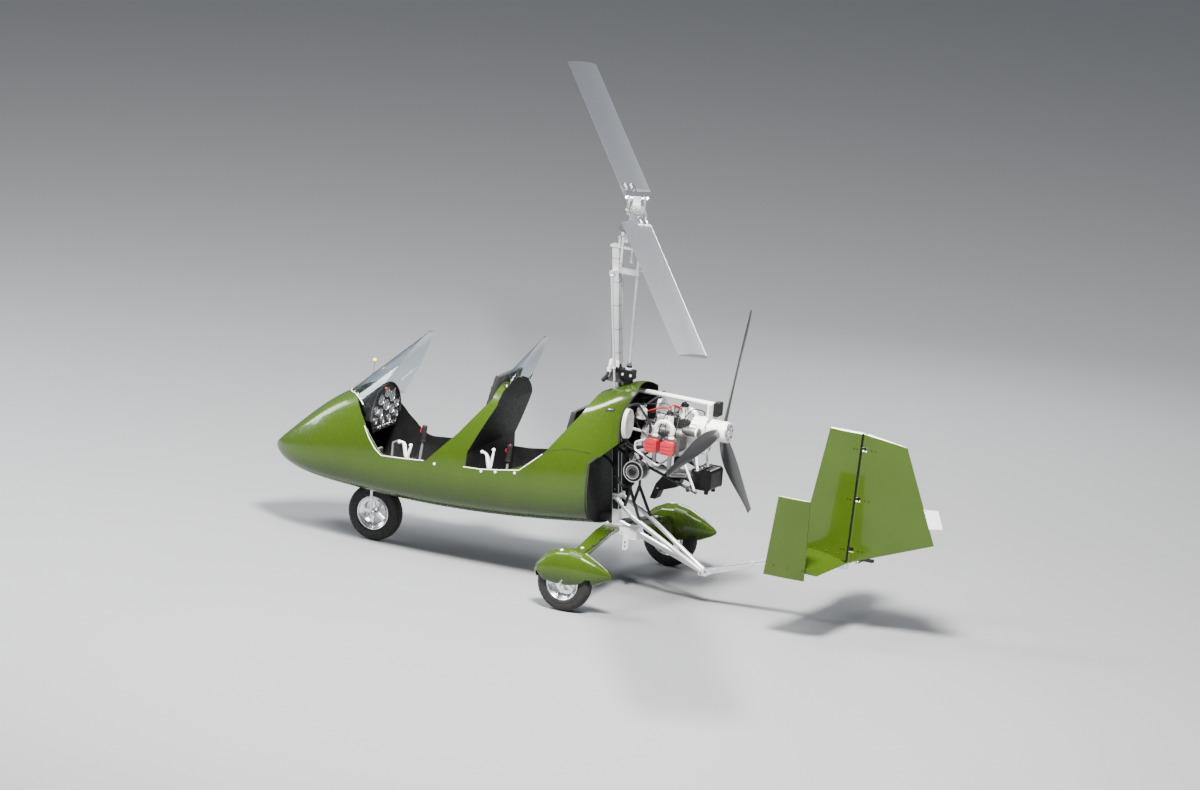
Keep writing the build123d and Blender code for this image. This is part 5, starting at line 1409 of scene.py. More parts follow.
# %% Carburettors
for side in (-1, 1):
    middle_x = -0.4905 if side > 0 else -0.4585
    spot = at(middle_x, side * 0.15, 1.249)
    bowl = [(0, 0.001), (0.0255, 0.001), (0.0255, -0.004), (0.0225, -0.006), (0.0215, -0.026),
            (0.017, -0.031), (0.006, -0.032), (0.006, -0.037), (0, -0.037)]
    turned(pale, bowl, spot, (0, 0, 1), 28)
    dome = [(0, 0.083), (0.0295, 0.083), (0.03, 0.086), (0.03, 0.091), (0.0265, 0.094), (0.024, 0.104),
            (0.013, 0.112), (0, 0.113)]
    turned(gloss, dome, spot, (0, 0, 1), 32)
    bolt_ring(steel, spot + at(0, 0, 0.091), (0, 0, 1), 0.0255, 4, 0.003, 0.6)
    cable = [(0, 0, 0.11), (0, 0, 0.135), (0.05, -side * 0.01, 0.15), (0.2, -side * 0.035, 0.118)]
    cable = [spot + Vector(offset) for offset in cable]
    cable += [(-0.09, side * 0.085, 1.33), (0.034, side * 0.07, 1.31)]
    hose(cable, 0.003, rubber, False, 7, 8)
    clamp(spot + at(0, side * 0.03, 0.044), (0, 1, 0), 0.021, 0.01)
    filter_foot = spot + at(0.028, 0, 0.038)
    pleated(gauze, filter_foot + at(0.006, 0, 0), (1, 0, 0), 0.0365, 0.042)
    rim_cap = [(0, 0.046), (0.033, 0.046), (0.038, 0.048), (0.0385, 0.054), (0.035, 0.057), (0.012, 0.059),
               (0, 0.059)]
    turned(bright, rim_cap, filter_foot, (1, 0, 0), 36)
    turned(rubber, [(0, 0.0), (0.034, 0.0), (0.038, 0.003), (0.038, 0.009), (0, 0.009)],
           filter_foot, (1, 0, 0), 36)
    clamp(filter_foot + at(0.002, 0, 0), (1, 0, 0), 0.034, 0.008)
    spring = []
    for step in range(73):
        angle = 2 * pi * step / 8
        x, z = -0.03 + 0.0045 * cos(angle), 0.02 + 0.0045 * sin(angle)
        spring.append(spot + at(x, side * (0.01 + 0.0007 * step), z))
    tube(bright, spring, 0.001, 6)
red_line = [(-0.4905, 0.134, 1.3), (-0.47, 0.105, 1.335), (-0.43, 0.06, 1.345), (-0.405, 0.0, 1.338),
            (-0.42, -0.07, 1.345), (-0.4585, -0.134, 1.3)]
hose(red_line, 0.0062, red)
hose([(-0.405, 0.0, 1.338), (-0.35, 0.02, 1.33), (-0.27, 0.05, 1.3), (-0.15, 0.06, 1.245),
      (0.035, 0.06, 1.215)], 0.0062, red)
print("carburettors, filters and the fuel line")

# %% [markdown]
# ### Coolers, tanks and hoses
# The oval coolers have a core of fine flat tubes between their end plates. Coolant hoses leave
# them top and bottom, a small tank with a pressure cap holds the spare coolant, and the round oil
# tank is held by two bright bands. Its lid is black, with a knob and a bright rim.

# %% Coolers and tanks
cooler_y, cooler_z = 0.275, 1.247
for side in (-1, 1):
    for number in range(17):
        z = cooler_z - 0.096 + 0.012 * number
        reach = 0.062 * max(0.0, 1 - ((z - cooler_z) / 0.106) ** 2) ** 0.5
        plate(bright, (-0.2475, side * cooler_y - reach, z - 0.0018),
              (-0.244, side * cooler_y + reach, z + 0.0018), 0.0008)
    rim = []
    for step in range(73):
        angle = 2 * pi * step / 72
        rim.append((-0.213, side * cooler_y + 0.0765 * cos(angle), cooler_z + 0.1115 * sin(angle)))
    tube(moulded, rim, 0.0042, 8)
    top = at(-0.226, side * 0.262, 1.338)
    hose([top, top + at(-0.004, 0, 0.03), top + at(-0.04, -side * 0.05, 0.04),
          (-0.262, side * 0.165, 1.352)], 0.0105, rubber)
    low = at(-0.226, side * 0.262, 1.156)
    hose([low, low + at(-0.004, 0, -0.04), (-0.25, side * 0.2, 1.072),
          (-0.285, side * 0.125, 1.062), (-0.298, side * 0.08, 1.066)], 0.012, rubber)
tank_spot = at(-0.268, 0.135, 1.262)
tank_profile = [(0, 0), (0.03, 0), (0.036, 0.006), (0.036, 0.066), (0.03, 0.074), (0.02, 0.076),
                (0.02, 0.082), (0, 0.082)]
turned(pale, tank_profile, tank_spot, (0, 0, 1), 36)
cap_profile = [(0, 0.08), (0.022, 0.08), (0.024, 0.083), (0.024, 0.089), (0.02, 0.093),
               (0.008, 0.095), (0, 0.095)]
turned(bright, cap_profile, tank_spot, (0, 0, 1), 12)
clamp(tank_spot + at(0, 0, 0.034), (0, 0, 1), 0.0365, 0.014)
plate(steel, (-0.276, 0.06, 1.284), (-0.26, 0.11, 1.288), 0.001)
plate(steel, (-0.276, 0.06, 1.205), (-0.26, 0.064, 1.288), 0.001)
hose([(-0.262, -0.165, 1.352), (-0.275, -0.08, 1.372), (-0.285, 0.02, 1.372), (-0.268, 0.11, 1.345)],
     0.0085, rubber)
hose([(-0.262, 0.165, 1.352), (-0.3, 0.19, 1.33), (-0.375, 0.215, 1.25), (-0.393, 0.226, 1.192)], 0.0085,
     rubber)

oil_centre = at(-0.267, 0, 0.895)
for y, width in ((0.196, 0.012), (0.11, 0.016)):
    band = [(0.0702, -width / 2), (0.0735, -width / 2), (0.0745, 0), (0.0735, width / 2), (0.0702, width / 2)]
    turned(bright, band, oil_centre + at(0, y, 0), (0, 1, 0), 56, closed=True)
lid = [(0, 0.2005), (0.066, 0.2005), (0.066, 0.204), (0.06, 0.2055), (0.052, 0.2055), (0, 0.2055)]
turned(hot, lid, oil_centre, (0, 1, 0), 48)
knob = [(0, 0.2085), (0.024, 0.2085), (0.026, 0.211), (0.026, 0.221), (0.022, 0.224), (0, 0.224)]
turned(moulded, knob, oil_centre, (0, 1, 0), 10)
turned(bright, collar(0.047, 0.0495, 0.2085, 0.213), oil_centre, (0, 1, 0), 48, closed=True)
oil_hoses = [
    ((0.03, 0.16, 0.064), [(-0.228, 0.175, 1.005), (-0.262, 0.16, 1.052), (-0.315, 0.1, 1.07)], 0.01),
    ((-0.02, 0.15, 0.067), [(-0.31, 0.165, 1.01), (-0.35, 0.15, 1.04), (-0.365, 0.1, 1.06)], 0.0085),
    ((0.01, 0.13, -0.069),
     [(-0.23, 0.14, 0.78), (-0.14, 0.12, 0.77), (-0.06, 0.11, 0.9), (0.034, 0.11, 0.96)], 0.01),
]
for start, route, radius in oil_hoses:
    hose([oil_centre + Vector(start)] + route, radius, rubber)
print("coolers, tanks and hoses")

# %% [markdown]
# ### Starter, filter, gearbox and wiring
# The starter lies on the left above the rear cylinder, the oil filter stands out from the case,
# and bolts ring the gearbox and its flange. The wiring is a thick taped loom from the firewall
# that splits into thin leads, tied at intervals.

# %% Starter and gearbox
prop_shaft_z = 1.245
starter = [(0, 0), (0.02, 0), (0.022, 0.004), (0.022, 0.022), (0.031, 0.026), (0.0325, 0.03),
           (0.0325, 0.105), (0.03, 0.109), (0.0325, 0.112), (0.0325, 0.126), (0.026, 0.131), (0, 0.132)]
turned(dark, starter, (-0.578, 0.112, 1.232), (-1, 0, 0), 36)
turned(pale, collar(0.0326, 0.036, 0.108, 0.118), (-0.578, 0.112, 1.232), (-1, 0, 0), 36, closed=True)
turned(pale, disc(0.012, 0, 0.05), (-0.63, 0.112, 1.268), (-1, 0, 0), 20)
filter_body = [(0, 0), (0.03, 0), (0.033, 0.004), (0.036, 0.012), (0.036, 0.062), (0.032, 0.07),
               (0.02, 0.073), (0, 0.073)]
turned(white, filter_body, (-0.345, 0.094, 1.09), (0, 1, 0), 32)
turned(steel, disc(0.009, 0.072, 0.08), (-0.345, 0.094, 1.09), (0, 1, 0), 6)
bolt_ring(steel, (-0.72, 0, prop_shaft_z), (-1, 0, 0), 0.06, 8, 0.0058, 0.39)
bolt_ring(steel, (-0.72, 0, crank_z), (-1, 0, 0), 0.056, 7, 0.0052, 0.2)
flange_rim = [(0.07, 0), (0.08, 0), (0.0815, 0.003), (0.0815, 0.009), (0.078, 0.012), (0.07, 0.012)]
turned(pale, flange_rim, (-0.668, 0, prop_shaft_z), (-1, 0, 0), 56, closed=True)
for number in range(7):
    angle = radians(-75 + 25 * number)
    foot = at(-0.64, 0.0755 * cos(angle), prop_shaft_z + 0.0755 * sin(angle))
    out = at(0, cos(angle), sin(angle))
    turn = three_way_frame(foot, at(1, 0, 0), out.cross(at(1, 0, 0)), out)
    plate(pale, (-0.028, -0.002, -0.003), (0.022, 0.002, 0.007), 0.001, turn)
for side in (-1, 1):
    for x in (-0.35, -0.49, -0.6):
        bolt(steel, (x, side * 0.0952, 1.175), (0, side, 0), 0.0052)
        bolt(steel, (x, side * 0.0952, 1.075), (0, side, 0), 0.0052)
for x in (-0.34, -0.59):
    for y in (-0.055, 0.055):
        bolt(steel, (x, y, 1.2205), (0, 0, 1), 0.0052)

loom = [(0.034, 0.13, 1.18), (-0.04, 0.14, 1.19), (-0.13, 0.12, 1.235), (-0.22, 0.08, 1.25),
        (-0.33, 0.07, 1.235), (-0.4, 0.066, 1.245)]
hose(loom, 0.0085, rubber, False, 8)
branches = [[loom[4], (-0.44, 0.085, 1.235), (-0.52, 0.1, 1.24), (-0.585, 0.112, 1.262)],
            [loom[3], (-0.26, 0.18, 1.23), (-0.33, 0.2, 1.18), (-0.375, 0.21, 1.15)],
            [loom[2], (-0.17, 0.2, 1.15), (-0.18, 0.16, 1.02), (-0.23, 0.15, 0.965)],
            [loom[3], (-0.28, -0.06, 1.275), (-0.38, -0.1, 1.255), (-0.47, -0.06, 1.262)],
            [loom[1], (-0.09, 0.2, 1.12), (-0.07, 0.18, 1.02), (0.034, 0.18, 0.98)]]
for branch in branches:
    hose(branch, 0.0036, rubber, False, 8, 8)
for spot in loom[1:4]:
    turned(white, collar(0.0088, 0.01, -0.002, 0.002), spot, (1, 0, 0), 16, closed=True)
print("starter, filter and wiring")

# %% [markdown]
# ### Silencer, springs and mounts
# The silencer is a welded box: it has a rolled seam near each end, bolts on top, and short springs
# that hold the pipes in their sockets. Rubber mounts with bright washers sit where the engine's
# frame meets the engine and the mast.

# %% Silencer and mounts
for y in (-0.172, 0.012):
    seam = []
    for dx, dz in ((1, 1), (-1, 1), (-1, -1), (1, -1)):
        corner = at(-0.7 + dx * 0.0535, y, 0.88 + dz * 0.051)
        for step in range(7):
            angle = radians(15 * step) + {(1, 1): 0, (-1, 1): pi / 2, (-1, -1): pi, (1, -1): 1.5 * pi}[dx, dz]
            seam.append(corner + at(0.0205 * cos(angle), 0, 0.0205 * sin(angle)))
    tube(hot, seam + seam[:1], 0.0034, 8)
for end_y in (-0.02, -0.14):
    for index in range(2):
        socket = at(-0.64, end_y, 0.915 - 0.025 * index)
        for dy in (-0.021, 0.021):
            spring = []
            for step in range(65):
                angle = 2 * pi * step / 8
                y, z = dy + 0.0042 * cos(angle), 0.004 + 0.0042 * sin(angle)
                spring.append(socket + at(0.012 + 0.0006 * step, y, z))
            tube(steel, spring, 0.001, 6)
for y in (-0.11, -0.04, 0.006):
    bolt(steel, (-0.7, y, 0.9612), (0, 0, 1), 0.0058)
mounts = [((-0.198, 0.07, 0.954), (0.92, 0, -0.29), 0.019), ((-0.64, 0.07, 0.816), (0.95, 0, -0.3), 0.018),
          ((-0.3, 0.062, 1.2125), (1, 0, 0), 0.02), ((-0.11, 0.028, 1.2142), (1, 0, 0), 0.019)]
for side in (-1, 1):
    for spot, axis, radius in mounts:
        centre = at(spot[0], side * spot[1], spot[2])
        block = [(0.0, -0.014), (radius, -0.014), (radius * 1.12, -0.006), (radius * 1.12, 0.006),
                 (radius, 0.014), (0.0, 0.014)]
        turned(rubber, block, centre, axis, 28)
        for height in (-0.0165, 0.014):
            washer = disc(radius * 1.25, height, height + 0.0025)
            turned(bright, washer, centre, axis, 28)
for x, z in ((-0.43, 0.868), (-0.5, 0.852), (-0.39, 0.77)):
    for side in (-1, 1):
        bolt(steel, (x, side * 0.0422, z), (0, side, 0), 0.005)
for finish, shape in engine_shapes.items():
    made = make_piece(shape, "engine_" + finish.name.replace(" ", "_"), finish)
    print(made.name, "has", len(made.data.polygons), "faces")

# %% Propeller hub
hub_bolts, hub_plate = open_meshes(2)
bolt_ring(hub_bolts, (-0.8795, 0, prop_shaft_z), (-1, 0, 0), 0.048, 6, 0.0065, 0.2)
bolt_ring(hub_bolts, (-0.745, 0, prop_shaft_z), (1, 0, 0), 0.06, 6, 0.0055, 0.2)
plate_profile = [(0, 0), (0.066, 0), (0.0665, 0.002), (0.0655, 0.004), (0.022, 0.0045), (0.02, 0.009),
                 (0.012, 0.011), (0, 0.011)]
turned(hub_plate, plate_profile, (-0.8752, 0, prop_shaft_z), (-1, 0, 0), 56)
seam_ring = [(0.0728, -0.002), (0.0742, -0.0012), (0.0742, 0.0012), (0.0728, 0.002)]
turned(hub_plate, seam_ring, (-0.812, 0, prop_shaft_z), (1, 0, 0), 56, closed=True)
make_piece(hub_bolts, "propeller_bolts", gear_steel, "propeller")
make_piece(hub_plate, "propeller_hub_plate", turned_alloy, "propeller")
print("the propeller hub is bolted up")

# %% [markdown]
# ## Undercarriage, frame and tail
# Between hull and tail lie the tubes, and each joint of tubes shows how it is held: a weld bead,
# a gusset with bolts, or a clamp with white fittings. The brakes have callipers over their discs
# and hoses that follow the green bow.

# %% Welds, gussets and clamp
silver, white_bits, dark_steel, rubber_bits = open_meshes(4)


def weld(shape, centre, axis, radius, bead=0.0028):
    """A ring of small overlapping beads, as a welder leaves round a tube."""
    turn = facing(centre, axis)
    points = []
    for step in range(49):
        angle = 2 * pi * step / 48
        reach = radius + 0.0008 * (step % 2)
        points.append(turn @ at(reach * cos(angle), reach * sin(angle), 0))
    tube(shape, points, bead, 6)


for side in (-1, 1):
    corner = at(-0.24, side * 0.095, 0.549)
    upper, lower = at(-0.062, side * 0.04, 0.658), at(-0.777, side * 0.02, 0.234)
    for end, share in ((upper, 0.1), (lower, 0.05)):
        spot = corner.lerp(end, share)
        weld(silver, spot, end - corner, 0.0165)
    weld(silver, lower.lerp(corner, 0.06), corner - lower, 0.0165)
    weld(silver, upper.lerp(corner, 0.1), corner - upper, 0.0165)
    for x in (-0.09, -0.07):
        bolt(dark_steel, (x, side * 0.0602, 0.658), (0, side, 0), 0.0062)
    for x, z in ((-0.8, 0.246), (-0.765, 0.228)):
        bolt(dark_steel, (x, side * 0.0352, z), (0, side, 0), 0.0062)
    for x in (-0.245, -0.15):
        bolt(white_bits, (x, side * 0.0452, 0.42), (0, side, 0), 0.0075)
    plate(white_bits, (-0.262, side * 0.045 - 0.0022, 0.392), (-0.13, side * 0.045 + 0.0022, 0.448), 0.0015)
    for x in (-0.11, -0.03):
        bolt(white_bits, (x, side * 0.038, 0.4552), (0, 0, 1), 0.0075)
plate(white_bits, (-0.264, -0.046, 0.372), (-0.176, 0.046, 0.3865), 0.002)
for x in (-0.245, -0.195):
    for y in (-0.03, 0.03):
        bolt(dark_steel, (x, y, 0.3718), (0, 0, -1), 0.0062)
plate(white_bits, (-0.205, 0.04, 0.3), (-0.165, 0.058, 0.392), 0.0025)
plate(white_bits, (-0.2, 0.052, 0.296), (-0.17, 0.064, 0.312), 0.002)
for z in (0.318, 0.35):
    bolt(dark_steel, (-0.185, 0.0582, z), (0, 1, 0), 0.0058)
for x, z in ((-0.06, 0.7), (-0.052, 0.79)):
    for side in (-1, 1):
        bolt(dark_steel, (x, side * 0.0252, z), (0, side, 0), 0.0065)
print("frame joints dressed")

# %% Brakes, spat bolts and bow fittings
calliper_dx, calliper_dz = 0.052, 0.036
washer_head = [(0, -0.001), (0.012, -0.001), (0.012, 0.002), (0.009, 0.005), (0, 0.0065)]
spat_head = [(0, -0.001), (0.0145, -0.001), (0.0145 * 1.02, 0.0015), (0.0145 * 0.8, 0.004), (0, 0.0055)]
bow = parts["gear_bow"]
for side in (-1, 1):
    pivot = at(-0.114 + calliper_dx, side * 0.782, 0.2 + calliper_dz)
    outward = at(calliper_dx, 0, calliper_dz).normalized()
    to_side = at(0, side, 0)
    turn = three_way_frame(pivot, outward, to_side, outward.cross(to_side))
    plate(dark_steel, (-0.018, -0.026, -0.028), (0.024, -0.0105, 0.028), 0.003, turn)
    plate(dark_steel, (0.0135, -0.026, -0.024), (0.028, 0.014, 0.024), 0.003, turn)
    for along in (-0.016, 0.016):
        bolt(silver, turn @ at(0.004, -0.0262, along), (0, -side, 0), 0.0048)
    start = turn @ at(0.006, -0.026, 0.0)
    route = [start, start + at(-0.01, -side * 0.02, 0.01), at(-0.12, side * 0.715, 0.232)]
    for step in range(15):
        y = side * (0.68 - 0.04 * step)
        tries = [feel(bow, (x, y, 0.52), (0, 0, -1), 0.5)[0] for x in (-0.165, -0.15, -0.135, -0.12)]
        tries = [hit for hit in tries if hit is not None]
        if tries:
            route.append(tries[0] + at(0, 0, 0.0042))
    tube(rubber_bits, route, 0.0038, 8, 3)
    for y in (0.52, 0.36, 0.22):
        hit, _ = feel(bow, (-0.16, side * y, 0.52), (0, 0, -1), 1.0)
        if hit is not None:
            clip_low, clip_high = at(-0.012, -0.0025, -0.001), at(0.01, 0.0025, 0.0105)
            plate(rubber_bits, hit + clip_low, hit + clip_high, 0.001)
    spat = "left_spat" if side > 0 else "right_spat"
    hit, normal = feel(parts[spat], (-0.114, side * 1.5, 0.196), (0, -side, 0), 1.2)
    if hit is not None:
        turned(white_bits, spat_head, hit, normal, 28)
    set_on(spat, (-0.09, side * 0.87, 1.0), (0, 0, -1), 1.0, round_head, white_bits, washer_head)
    set_on("gear_bow", (-0.11, side * 0.585, 0.52), (0, 0, -1), 1.0, round_head, white_bits, washer_head)
make_piece(silver, "weld_beads", drawn_tube)
make_piece(white_bits, "white_fittings", white_trim)
make_piece(dark_steel, "frame_bolts_and_callipers", gear_steel)
make_piece(rubber_bits, "brake_hoses", soft_rubber)
print("brakes and spats dressed")

# %% Nose fork fittings
fork_bits, fork_bolts = open_meshes(2)
for side in (-1, 1):
    for z in (0.3, 0.395):
        hit, _ = feel(parts["nose_fork"], (1.9, side * 0.072, z), (-1, 0, 0), 0.4)
        if hit is not None:
            turned(fork_bits, collar(0.0102, 0.0122, -0.006, 0.006), (hit.x - 0.01, side * 0.072, z),
                   (0.06, 0, 1), 24, closed=True)
    bolt(fork_bolts, (1.765, side * 0.1142, 0.2), (0, side, 0), 0.007)
    for dx in (-0.02, 0.018):
        bolt(fork_bolts, (1.797 + dx, side * 0.05, 0.4392), (0, 0, 1), 0.0062)
make_piece(fork_bits, "fork_bands", turned_alloy, "nose_fork")
make_piece(fork_bolts, "fork_bolts", gear_steel, "nose_fork")
print("nose fork dressed")

# %% [markdown]
# ### Tail
# Fin and rudder meet along a hinge line, with bolts at each hinge. The line shows dark because the fin's rear
# face and the rudder's nose, which face each other across the gap, are painted black as painted shade. A horn
# for the control cables sits at the foot of the rudder under a small black block, and the tip fins are bolted
# to the tailplane. The white trim tab is riveted to the rudder's edge.

# %% Dress the tail
hinge_bolts, tail_black, tail_silver = open_meshes(3)
hinge_low, hinge_high = at(-1.875, 0, 0.51), at(-1.922, 0, 1.425)
hinge_axis = (hinge_high - hinge_low).normalized()
for z in (0.6, 0.96, 1.32):
    centre = hinge_low + hinge_axis * ((z - 0.51) / hinge_axis.z)
    for side in (-1, 1):
        for ahead_by in (0.052, 0.075):
            place = (centre.x + ahead_by, side * 0.5, z)
            set_on("fin", place, (0, -side, 0), 0.6, bolt, hinge_bolts, 0.0052)
for side in (-1, 1):
    inward = (0, -side, 0)
    for x in (-1.53, -1.6, -1.7, -1.79):
        set_on("fin", (x, side * 0.5, 0.56), inward, 0.6, screw, hinge_bolts, 0.0055)
    for x in (-1.53, -1.64, -1.75):
        set_on("tip_fins", (x, side * 0.7, 0.525), inward, 0.3, bolt, hinge_bolts, 0.0055)
        set_on("tailplane", (x, side * 0.47, 0.8), (0, 0, -1), 0.6, screw, hinge_bolts, 0.0055)
    for x in (-1.56, -1.7):
        set_on("tailplane", (x, side * 0.06, 0.8), (0, 0, -1), 0.6, bolt, hinge_bolts, 0.0062)
    cable = [(-0.78, side * 0.03, 0.262), (-1.15, side * 0.034, 0.372), (-1.48, side * 0.042, 0.47)]
    tube(tail_silver, cable, 0.0022, 8)
    for x, z in ((-0.86, 0.262), (-1.15, 0.358), (-1.4, 0.44)):
        guide_low = (x - 0.01, side * 0.0205 - 0.001, z - 0.004)
        guide_high = (x + 0.01, side * 0.0205 + side * 0.018, z + 0.02)
        plate(tail_black, guide_low, guide_high, 0.002)
make_piece(hinge_bolts, "tail_bolts", green_gel)
make_piece(tail_silver, "rudder_cables", gear_steel)
make_piece(tail_black, "cable_guides", drawn_tube)

hinge_slope = 0.0514
rivets, horn, rudder_black = open_meshes(3)
for side in (-1, 1):
    inward = (0, -side, 0)
    for z in (0.862, 0.9, 0.938, 0.972):
        set_on("trim_tab", (-2.412, side * 0.3, z), inward, 0.4, screw, rivets, 0.0042)
    for z in (0.605, 0.965, 1.325):
        for back_by in (0.055, 0.085):
            x = -1.875 - (z - 0.51) * hinge_slope - back_by
            set_on("rudder", (x, side * 0.5, z), inward, 0.6, bolt, rivets, 0.0052)
foot_hit, _ = feel(parts["rudder"], (-1.99, 0, 0.2), (0, 0, 1), 0.8)
if foot_hit is not None:
    base_z = foot_hit.z
    plate(rudder_black, (-2.05, -0.016, base_z - 0.016), (-1.925, 0.016, base_z + 0.006), 0.005)
    plate(horn, (-1.975, -0.075, base_z - 0.0205), (-1.945, 0.075, base_z - 0.015), 0.002)
    for side in (-1, 1):
        bolt(horn, (-1.96, side * 0.062, base_z - 0.015), (0, 0, 1), 0.0055)
make_piece(rivets, "rudder_rivets", green_gel, "rudder")
make_piece(horn, "rudder_horn", gear_steel, "rudder")
make_piece(rudder_black, "rudder_foot", black_moulding, "rudder")
print("tail dressed, rudder foot at", None if foot_hit is None else round(foot_hit.z, 3))

# %% [markdown]
# ## Mast and rotor head
# The mast carries the bevel gear box of the spin-up drive. A rubber boot closes the cowl round it, a
# black sleeve covers it inside the cowl, and white clamp fittings sit in front. Cables run up the
# mast in a loom that is tied on, and the head is a stack of bolted plates.

# %% Mast foot
boot, mast_white, mast_dark, mast_ties = open_meshes(4)
mast_foot_x, mast_foot_z, mast_slope = -0.084, 0.452, 0.08854


def mast_point(z, dx=0.0, dy=0.0):
    """A place beside the mast's middle line at a height."""
    return at(mast_foot_x + (z - mast_foot_z) * mast_slope + dx, dy, z)


def square_sleeve(shape, rows):
    """A soft square sleeve round the mast, from (height, half width) rows."""
    rings = []
    for z, half in rows:
        middle_point = mast_point(z)
        ring = []
        for number in range(24):
            angle = 2 * pi * (number + 0.5) / 24
            reach = 1 / max(abs(cos(angle)), abs(sin(angle))) ** 0.75
            offset = at(half * reach * cos(angle), half * reach * sin(angle), 0)
            ring.append(shape.verts.new(middle_point + offset))
        rings.append(ring)
    join_rings(shape, rings)
    shape.faces.new(rings[0][::-1])
    shape.faces.new(rings[-1])


sleeve_rows = [(1.462, 0.064), (1.475, 0.058), (1.49, 0.044), (1.5, 0.046), (1.51, 0.038), (1.52, 0.04),
               (1.53, 0.033), (1.54, 0.0345), (1.552, 0.0285), (1.58, 0.027)]
square_sleeve(boot, sleeve_rows)
square_sleeve(boot, [(0.56, 0.0262), (0.566, 0.0272), (0.9, 0.0272), (1.284, 0.0272), (1.29, 0.0262)])
spout = [mast_point(1.455, 0.085, 0.05), mast_point(1.49, 0.055, 0.055), mast_point(1.545, 0.03, 0.052)]
tube(boot, spout, [0.016, 0.013, 0.008], 12, 4)
plate(mast_white, mast_point(1.56, 0.024, -0.034), mast_point(1.61, 0.036, 0.046), 0.004)
plate(mast_white, mast_point(1.524, 0.024, 0.03), mast_point(1.556, 0.046, 0.062), 0.006)
plate(mast_white, mast_point(1.562, -0.03, 0.0255), mast_point(1.606, 0.034, 0.0345), 0.003)
white_pipe = [mast_point(1.53, 0.04, 0.05), mast_point(1.552, 0.03, 0.056), mast_point(1.59, 0.026, 0.052)]
tube(mast_white, white_pipe, 0.0095, 12, 4)
for z in (1.572, 1.596):
    bolt(mast_dark, mast_point(z, 0.0385, 0.035), (1, 0, 0), 0.0062)
    bolt(mast_dark, mast_point(z, 0.0385, -0.015), (1, 0, 0), 0.0062)
    bolt(mast_dark, mast_point(z, 0.0, 0.035), (0, 1, 0), 0.0062)
for x in (-0.112, -0.05):
    for side in (-1, 1):
        bolt(mast_white, (x, side * 0.0362, 1.52), (0, side, 0), 0.007)
        bolt(mast_dark, (x, side * 0.0252, 1.45), (0, side, 0), 0.0058)
gaiter = [(0.0202, 0), (0.024, 0), (0.025, 0.004), (0.025, 0.012), (0.0202, 0.016)]
turned(mast_white, gaiter, (-0.08, 0, 1.552), (0, 0, 1), 32, closed=True)
shaft_collar = [(0.0115, 0), (0.015, 0), (0.015, 0.02), (0.0115, 0.024)]
turned(mast_dark, shaft_collar, (-0.08, 0, 1.582), (0, 0, 1), 24, closed=True)

# %% Loom and ties on the mast
loom_heights = (1.58, 1.7, 1.85, 2.00, 2.15, 2.3, 2.385)
loom_path = [mast_point(z, 0.0325, 0.01 + 0.004 * sin(z * 9)) for z in loom_heights]
tube(mast_dark, loom_path, 0.0048, 8, 4)
for number in range(5):
    z = 1.66 + 0.165 * number
    ring = []
    for step in range(33):
        angle = 2 * pi * step / 32
        reach = 0.0262 * (1 / max(abs(cos(angle)), abs(sin(angle))))
        over_loom = 0.006 if cos(angle) > 0.7 else 0
        ring.append(mast_point(z, reach * cos(angle) + over_loom, reach * sin(angle)))
    tube(mast_ties, ring, 0.0013, 6)
for side in (-1, 1):
    rod_low, rod_high = mast_point(1.3, -0.01, side * 0.05), mast_point(2.24, 0, side * 0.085)
    for share in (0.28, 0.975):
        spot = rod_low.lerp(rod_high, share)
        nut = collar(0.0082, 0.0135, -0.006, 0.006)
        turned(mast_white, nut, spot, rod_high - rod_low, 6, closed=True)
    bolt(mast_dark, mast_point(2.2442, 0, side * 0.085), (0, 0, 1), 0.006)
    bolt(mast_dark, mast_point(2.238, 0.0205, side * 0.015), (1, 0, 0), 0.0055)
for dx in (-0.04, 0.052):
    for side in (-1, 1):
        bolt(mast_dark, (0.008 + dx * 0.9, side * 0.022, 2.4142), (0, 0, 1), 0.005)
make_piece(boot, "mast_boot", soft_rubber, sharp=60)
make_piece(mast_white, "mast_fittings", white_trim)
make_piece(mast_dark, "mast_bolts_and_loom", gear_steel)
make_piece(mast_ties, "mast_ties", soft_rubber)
print("mast dressed")

# %% [markdown]
# ### Tilting head and hub
# The tilting plate has rod ends below its arms, and the roll pin has a nut at each end. The hub has
# a teeter bolt with a bright nut and a split pin at each end, bolts through both cheeks, and ten
# bolts above and below in each blade grip. These ride on the body that each belongs to.

# %% Head bolts
head_bits = bmesh.new()
pitch_x, pitch_z, plate_top = 0.008, 2.47, 2.5282
for side in (-1, 1):
    rod_end = at(pitch_x, side * 0.085, pitch_z - 0.185)
    eye = [(0.0, -0.006), (0.0125, -0.006), (0.0145, 0.0), (0.0125, 0.006), (0.0, 0.006)]
    turned(head_bits, eye, rod_end + at(0, 0, 0.004), (0, 1, 0), 28)
    turned(head_bits, collar(0.0082, 0.0125, 0, 0.01), rod_end + at(0, 0, 0.024),
           (0, 0, 1), 6, closed=True)
    turned(head_bits, collar(0.0082, 0.013, 0, 0.009), (0.008, side * 0.085, 2.5),
           (0, 0, 1), 6, closed=True)
    bolt(head_bits, (pitch_x, side * 0.085, plate_top), (0, 0, 1), 0.0068)
    for dx in (-0.012, 0.012):
        bolt(head_bits, (pitch_x + dx, side * 0.044, plate_top), (0, 0, 1), 0.0048)
        bolt(head_bits, (pitch_x + dx, side * 0.0522, 2.5), (0, side, 0), 0.0046)
for x in (-0.16, -0.112):
    for side in (-1, 1):
        bolt(head_bits, (x, side * 0.0125, 2.5165), (0, 0, -1), 0.004)
make_piece(head_bits, "head_bolts", turned_alloy, "rotor_head")

